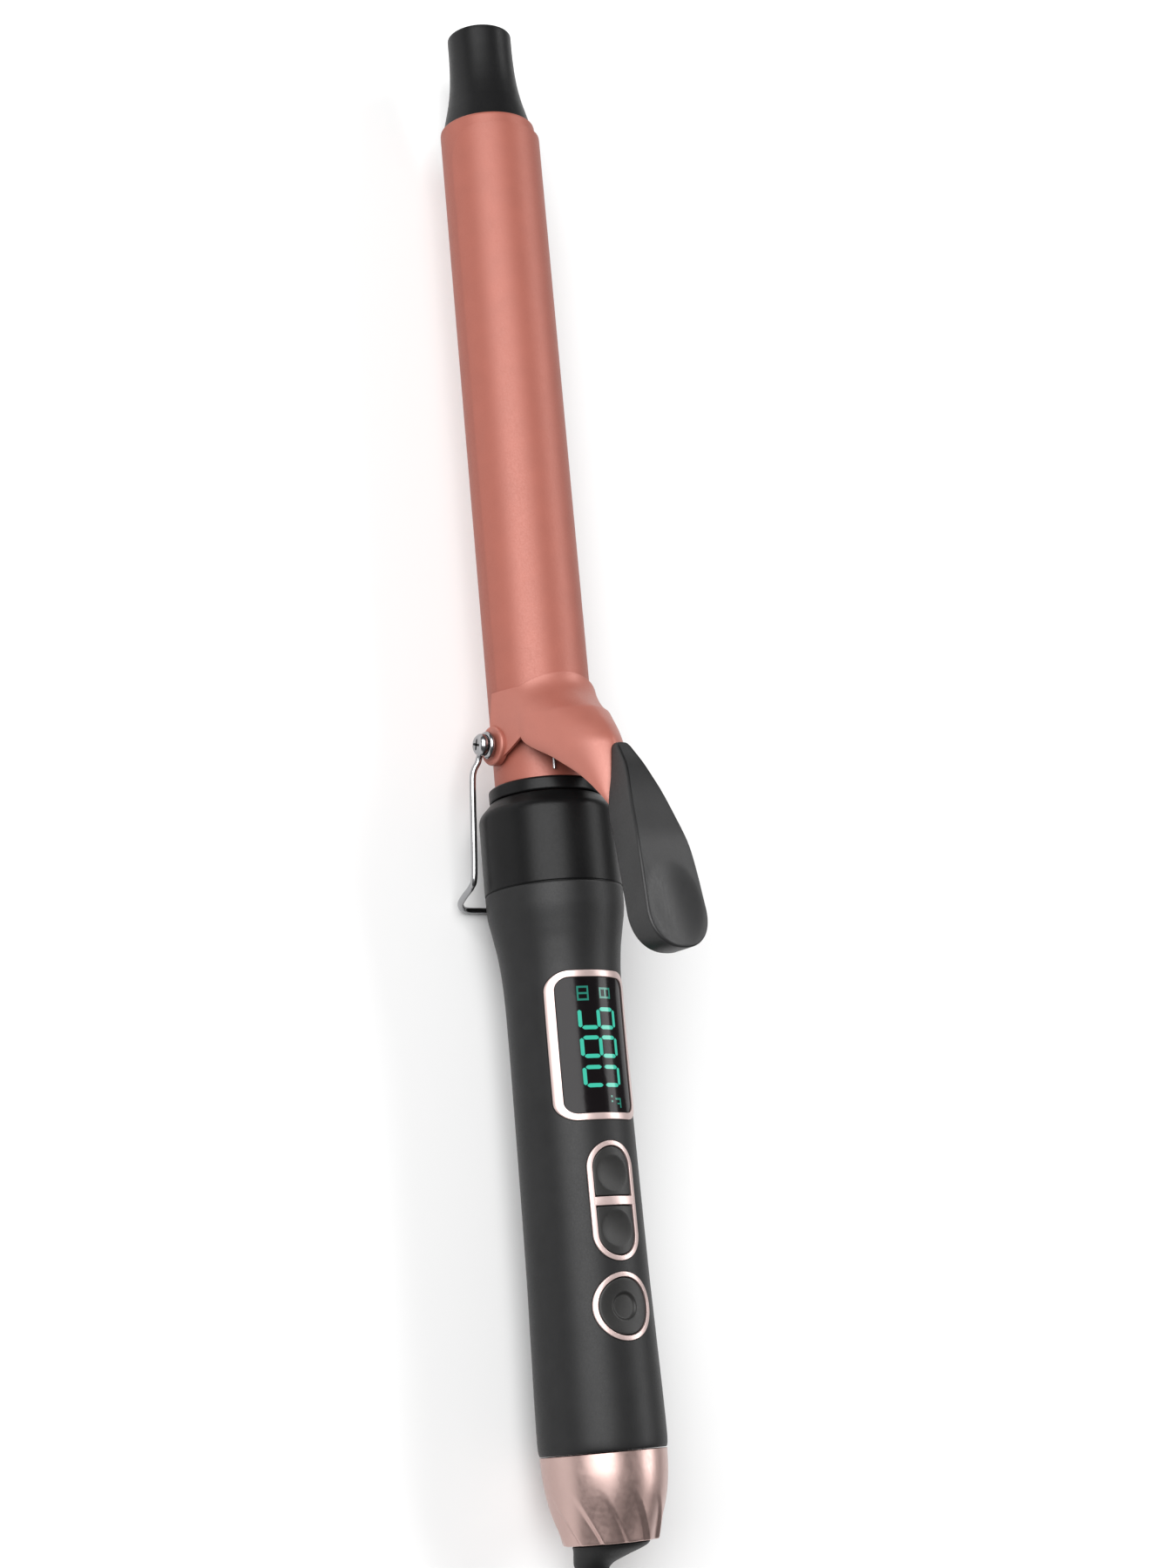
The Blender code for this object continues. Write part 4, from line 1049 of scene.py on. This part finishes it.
def build_bracket(look):
    """The bracket as one formed sheet: a saddle with a side down to each ear, and the arm."""
    shares = spaced(-1, 1, 56)
    parts = spaced(1, 0, 16)[:-1]
    side = len(parts)
    rows = [saddle_row(v, shares, parts) for v in spaced(0, 1, SADDLE_ROWS)]
    for s in spaced(NOTCH, ARM_END, ARM_ROWS)[1:]:
        top = [top_point(s, share) for share in shares]
        rows.append([top[0]] * side + top + [top[-1]] * side)

    def no_side(i, j):
        return i >= SADDLE_ROWS and not side <= j < side + len(shares) - 1

    bracket = grid("clamp_bracket_sheet", rows, look["bracket"], no_side)
    outwards(bracket)
    modifier(bracket, "SOLIDIFY", thickness=SHEET * MM, offset=-1.0, use_even_offset=False)
    modifier(bracket, "BEVEL", width=0.25 * MM, segments=3, angle_limit=math.radians(50))
    applied(bracket)
    dress(bracket, "clamp", "rose_gold", "clamp_bracket")


def build_ears(look):
    """The bracket's round ears, on the hinge screws."""
    corners = [(13.0, 1.8, 0), (13.0, 5.0, 0.2), (15.1, 5.0, 0.7), (15.1, 1.8, 0)]
    for name, way in (("left", 1), ("right", -1)):
        outline = [(way * a, r) for a, r in softened(corners, 6)]
        ear = turned(f"bracket_ear_{name}", outline, look["bracket"], (HINGE, 0, 0), "y", 72)
        dress(ear, "clamp", "rose_gold")


LEVER_FRONT = 3.0
LEVER_END = -41.6
LEVER_END_HALF = 8.7
LEVER_END_LENGTH = 9.4
LEVER_REAR = LEVER_END - LEVER_END_LENGTH
LEVER_FRONT_SOFT = 1.2
LEVER_SOFT = 0.7
# Heights of the lever's upper and lower side, and its half width, each as (station, value)
LEVER_TOP = [
    (LEVER_FRONT, 35.0),
    (-4.7, 40.2),
    (-16.7, 45.2),
    (-25.7, 48.3),
    (LEVER_END, 51.0),
    (LEVER_REAR, 52.3),
]
LEVER_BOTTOM = [
    (LEVER_FRONT, 33.0),
    (-4.0, 33.5),
    (-13.8, 34.3),
    (-25.2, 38.7),
    (LEVER_END, 42.3),
    (LEVER_REAR, 44.2),
]
LEVER_HALF = [
    (LEVER_FRONT, 1.8),
    (-4.7, 3.3),
    (-11.2, 5.0),
    (-18.2, 6.4),
    (-27.2, 7.8),
    (LEVER_END, LEVER_END_HALF),
]
BLUNT = 0.88
THUMB_STATION = -40.0
THUMB_DEPTH = 0.9
THUMB_LENGTH = 11.0
THUMB_HALF = 7.6


def lever_outline():
    """Teardrop seen from above, as (point, its spot on the middle line)."""
    found = []
    front = LEVER_FRONT - LEVER_FRONT_SOFT
    for s in spaced(front, LEVER_END, 60):
        found.append(((s, curve_value(LEVER_HALF, s)), (s, 0.0)))
    for a in spaced(0, math.pi, 56)[1:-1]:
        s = LEVER_END - LEVER_END_LENGTH * math.sin(a) ** BLUNT
        y = math.copysign(LEVER_END_HALF * abs(math.cos(a)) ** BLUNT, math.cos(a))
        found.append(((s, y), (LEVER_END, 0.0)))
    for s in spaced(LEVER_END, front, 60):
        found.append(((s, -curve_value(LEVER_HALF, s)), (s, 0.0)))
    root = curve_value(LEVER_HALF, LEVER_FRONT)
    for a in spaced(-RIGHT_ANGLE, RIGHT_ANGLE, 10)[1:-1]:
        flat = math.copysign(abs(math.sin(a)) ** 0.6, a)
        s = front + LEVER_FRONT_SOFT * math.cos(a) ** 0.6
        found.append(((s, root * flat), (front, 0.0)))
    return found


def lever_top(s, y):
    """Height of the lever's upper side, with the dish for the thumb let into it."""
    away = math.hypot((s - THUMB_STATION) / THUMB_LENGTH, y / THUMB_HALF)
    return curve_value(LEVER_TOP, s) - THUMB_DEPTH * max(0.0, 1 - away * away) ** 1.5


def lever_bottom(s):
    return curve_value(LEVER_BOTTOM, s)


def inset_share(point, middle, inset):
    """How far out a point is, as a share, once its edge has moved in by inset."""
    reach = math.dist(point, middle)
    return 1 - inset / reach if inset < reach else 0.0


def lever_ring(outline, height_at, share=1.0, inset=0.0):
    """The lever's outline drawn in by a share or a width, at the height that height_at gives."""
    ring = []
    for point, middle in outline:
        kept = share * inset_share(point, middle, inset)
        s, y = (m + (p - m) * kept for p, m in zip(point, middle))
        ring.append((s, y, height_at(s, y)))
    return ring


def build_lever(look):
    """The thumb lever, rounded over along both edges."""
    outline = lever_outline()
    soft = LEVER_SOFT
    rings = []
    for share in spaced(0, 1, 12)[:-1]:
        rings.append(lever_ring(outline, lambda s, y: lever_bottom(s), share))
    for a in spaced(0, RIGHT_ANGLE, 5):
        lift = soft * (1 - math.cos(a))
        inset = soft * (1 - math.sin(a))
        rings.append(lever_ring(outline, lambda s, y, up=lift: lever_bottom(s) + up, inset=inset))
    for a in spaced(0, RIGHT_ANGLE, 6):
        drop = soft * (1 - math.sin(a))
        inset = soft * (1 - math.cos(a))
        rings.append(lever_ring(outline, lambda s, y, down=drop: lever_top(s, y) - down, inset=inset))
    for share in spaced(0.9, 0, 16):
        rings.append(lever_ring(outline, lever_top, share))
    lever = loft("thumb_lever_paddle", rings, look["lever"], caps=False, sharp=50)
    dress(lever, "clamp", "satin_black", "thumb_lever")


SCREW_FACE = 19.4
# A hinge screw's outline: (distance from the middle plane, radius, softening)
SCREW_OUTLINE = [
    (12.0, 1.5, 0),
    (17.6, 1.5, 0),
    (17.6, 2.8, 0.1),
    (18.5, 2.8, 0.3),
    (SCREW_FACE, 2.0, 0.6),
    (SCREW_FACE, 0.0, 0),
]


def build_screws(look):
    """The hinge screws' heads, each with its cross recess painted on as dark shade."""
    for name, way in (("left", 1), ("right", -1)):
        outline = [(way * a, max(r, 0.0001)) for a, r in softened(SCREW_OUTLINE, 6)]
        screw = turned(f"hinge_screw_head_{name}", outline, look["chrome"], (HINGE, 0, 0), "y", 64)
        dress(screw, "handle", "chrome", f"hinge_screw_{name}")
        for turn in (20, 110):
            arm = painted_recess_shade(f"screw_slot_{name}_{turn}", way, math.radians(turn), look["dark"])
            dress(arm, "handle", "satin_black")


def painted_recess_shade(name, way, angle, finish):
    """One arm of a cross recess, painted as a near-black bar set into a screw's head: painted shade, not a
    cut.
    """
    along = Vector((math.cos(angle), 0.0, math.sin(angle)))
    across = Vector((-math.sin(angle), 0.0, math.cos(angle)))
    centre = Vector((HINGE, way * (SCREW_FACE + 0.02), 0.0))
    corners = []
    for u, v in ((1.5, 0.0), (1.2, 0.3), (-1.2, 0.3), (-1.5, 0.0), (-1.2, -0.3), (1.2, -0.3)):
        corners.append(tuple(centre + along * u + across * v))
    deep = [tuple(Vector(c) - Vector((0, way * 0.3, 0))) for c in corners]
    return loft(name, [corners, deep], finish)


def build_stand(look):
    """The wire stand: an eye round each hinge screw, and a loop under the collar."""
    eye = []
    for turn in spaced(185, -90, 40):
        angle = math.radians(turn)
        eye.append((HINGE + 2.7 * math.cos(angle), 16.4, 2.7 * math.sin(angle)))
    bends = [
        (6.6, 17.2, -3.1),
        (4.2, 18.4, -3.6),
        (1.0, 18.75, -4.1),
        (-12.0, 18.75, -5.6),
        (-22.0, 18.75, -6.9),
        (-24.4, 18.75, -8.6),
        (-26.0, 18.7, -12.2),
        (-27.2, 17.6, -16.2),
        (-28.0, 14.5, -19.0),
        (-28.0, 9.0, -19.3),
    ]
    half = eye[:-1] + smooth_path([eye[-1], *bends], 8)
    stand = tube("wire_stand_loop", half + mirrored(half), 0.8, look["chrome"])
    dress(stand, "stand", "chrome", "wire_stand")


def build_spring(look):
    """The clamp spring: a coil and a leg on each side, joined under the bracket's arm."""
    station, height, coil_radius = 12.5, 15.0, 1.6
    leg_side, loop_side, turns, steps = 5.0, 2.2, 2.5, 28
    coil = []
    for i in range(int(turns * steps) + 1):
        angle = -RIGHT_ANGLE - 2 * math.pi * i / steps
        side = leg_side - (leg_side - loop_side) * i / (turns * steps)
        coil.append((station + coil_radius * math.cos(angle), side, height + coil_radius * math.sin(angle)))
    leg = smooth_path([(1.6, leg_side, 12.5), (6.0, leg_side, 12.9), coil[0]], 6)[:-1]
    bends = [(9.5, loop_side, 19.0), (6.2, loop_side, 25.0), (5.0, 1.3, 26.6), (5.0, 0.0, 26.7)]
    half = leg + coil + smooth_path([coil[-1], *bends], 6)[1:]
    spring = tube("clamp_spring_wire", half + mirrored(half[:-1]), 0.45, look["chrome"], 12)
    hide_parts("clamp_spring")
    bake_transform(spring)


# ---------- CAD nodes that stay


# Finish, and the CAD nodes that take it
CARRIED = {
    "aluminium": ("heater_carrier_upper", "heater_carrier_lower"),
    "ceramic": ("tip_insulator", "heater_plate", "temperature_sensor", "barrel_holder", "capacitor"),
    "board": ("circuit_board",),
    "brass": ("swivel_contact",),
    "frame": (
        "inner_tray", "display_module", "plus_switch", "minus_switch",
        "power_switch", "swivel_socket", "triac",
    ),
    "lead": ("heater_lead_left", "heater_lead_right"),
    "chrome": (
        "spring_pin", "spring_lug_left", "spring_lug_right", "swivel_clip",
        "board_screw_front", "board_screw_rear", "lever_screw_front", "lever_screw_rear",
    ),
}


def finish_carried(look):
    """Better finishes for the CAD nodes that stay as they are."""
    for finish, names in CARRIED.items():
        for name in names:
            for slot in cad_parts[name].material_slots:
                slot.material = look[finish]


# ---------- stage


IRON_MIDDLE = (0.0, 0.0, 0.02)
FLOOR_Z = -0.0004


def softbox(name, where, size, power):
    """A white area light that looks at the middle of the iron."""
    light = bpy.data.lights.new(name, "AREA")
    light.shape = "RECTANGLE"
    light.size, light.size_y = size
    light.energy = power
    made = bpy.data.objects.new(name, light)
    bpy.context.scene.collection.objects.link(made)
    way = Vector(IRON_MIDDLE) - Vector(where)
    turn = way.to_track_quat("-Z", "Y").to_matrix().to_4x4()
    made.matrix_world = Matrix.Translation(where) @ turn


def build_stage():
    """Pale floor just under the iron, a faint white surround and two soft lights. Metres."""
    floor_material = varied("pale_floor", (0.80, 0.80, 0.80), 0.9, 60, 0.02, 0.005, 0.0, 0.1)
    bm = bmesh.new()
    bmesh.ops.create_grid(bm, x_segments=1, y_segments=1, size=4.0)
    mesh = bpy.data.meshes.new("floor")
    bm.to_mesh(mesh)
    bm.free()
    floor = bpy.data.objects.new("floor", mesh)
    floor.location.z = FLOOR_Z
    bpy.context.scene.collection.objects.link(floor)
    mesh.materials.append(floor_material)

    world = bpy.data.worlds.new("studio")
    world.use_nodes = True
    background = world.node_tree.nodes["Background"]
    background.inputs["Color"].default_value = (1.0, 1.0, 1.0, 1.0)
    background.inputs["Strength"].default_value = 0.14
    bpy.context.scene.world = world

    softbox("key", (0.22, 0.72, 0.98), (1.2, 1.25), 21.5)
    softbox("right_strip", (0.2, -0.9, 0.78), (1.4, 0.42), 7.8)
    view = bpy.context.scene.view_settings
    view.view_transform = "Standard"
    view.look = "Medium High Contrast"


def build_camera():
    """The camera, at the viewing angle of the reference."""
    camera = bpy.data.cameras.new("camera")
    camera.sensor_width = 36.0
    camera.lens = 64.0
    camera.clip_start = 0.01
    camera.clip_end = 50.0
    made = bpy.data.objects.new("camera", camera)
    bpy.context.scene.collection.objects.link(made)
    where = (-0.165073, 0.382192, 0.587949)
    target = (-0.006047, -0.006159, 0.024657)
    forward = (Vector(target) - Vector(where)).normalized()
    up = Vector((1.0, 0.0, 0.0))
    up = (up - forward * up.dot(forward)).normalized()
    right = forward.cross(up)
    roll = math.radians(5.1785)
    tilted_up = up * math.cos(roll) + right * math.sin(roll)
    tilted_right = forward.cross(tilted_up)
    basis = Matrix((tilted_right, tilted_up, -forward)).transposed().to_4x4()
    made.matrix_world = Matrix.Translation(where) @ basis
    bpy.context.scene.camera = made


look = make_finishes()
build_camera()
build_stage()
build_barrel(look)
build_collar(look)
build_sleeve(look)
build_display(look)
build_controls(look)
build_well(look)
build_cap(look)
build_boot(look)
build_plate(look)
build_bracket(look)
build_ears(look)
build_lever(look)
build_screws(look)
build_stand(look)
build_spring(look)
finish_carried(look)
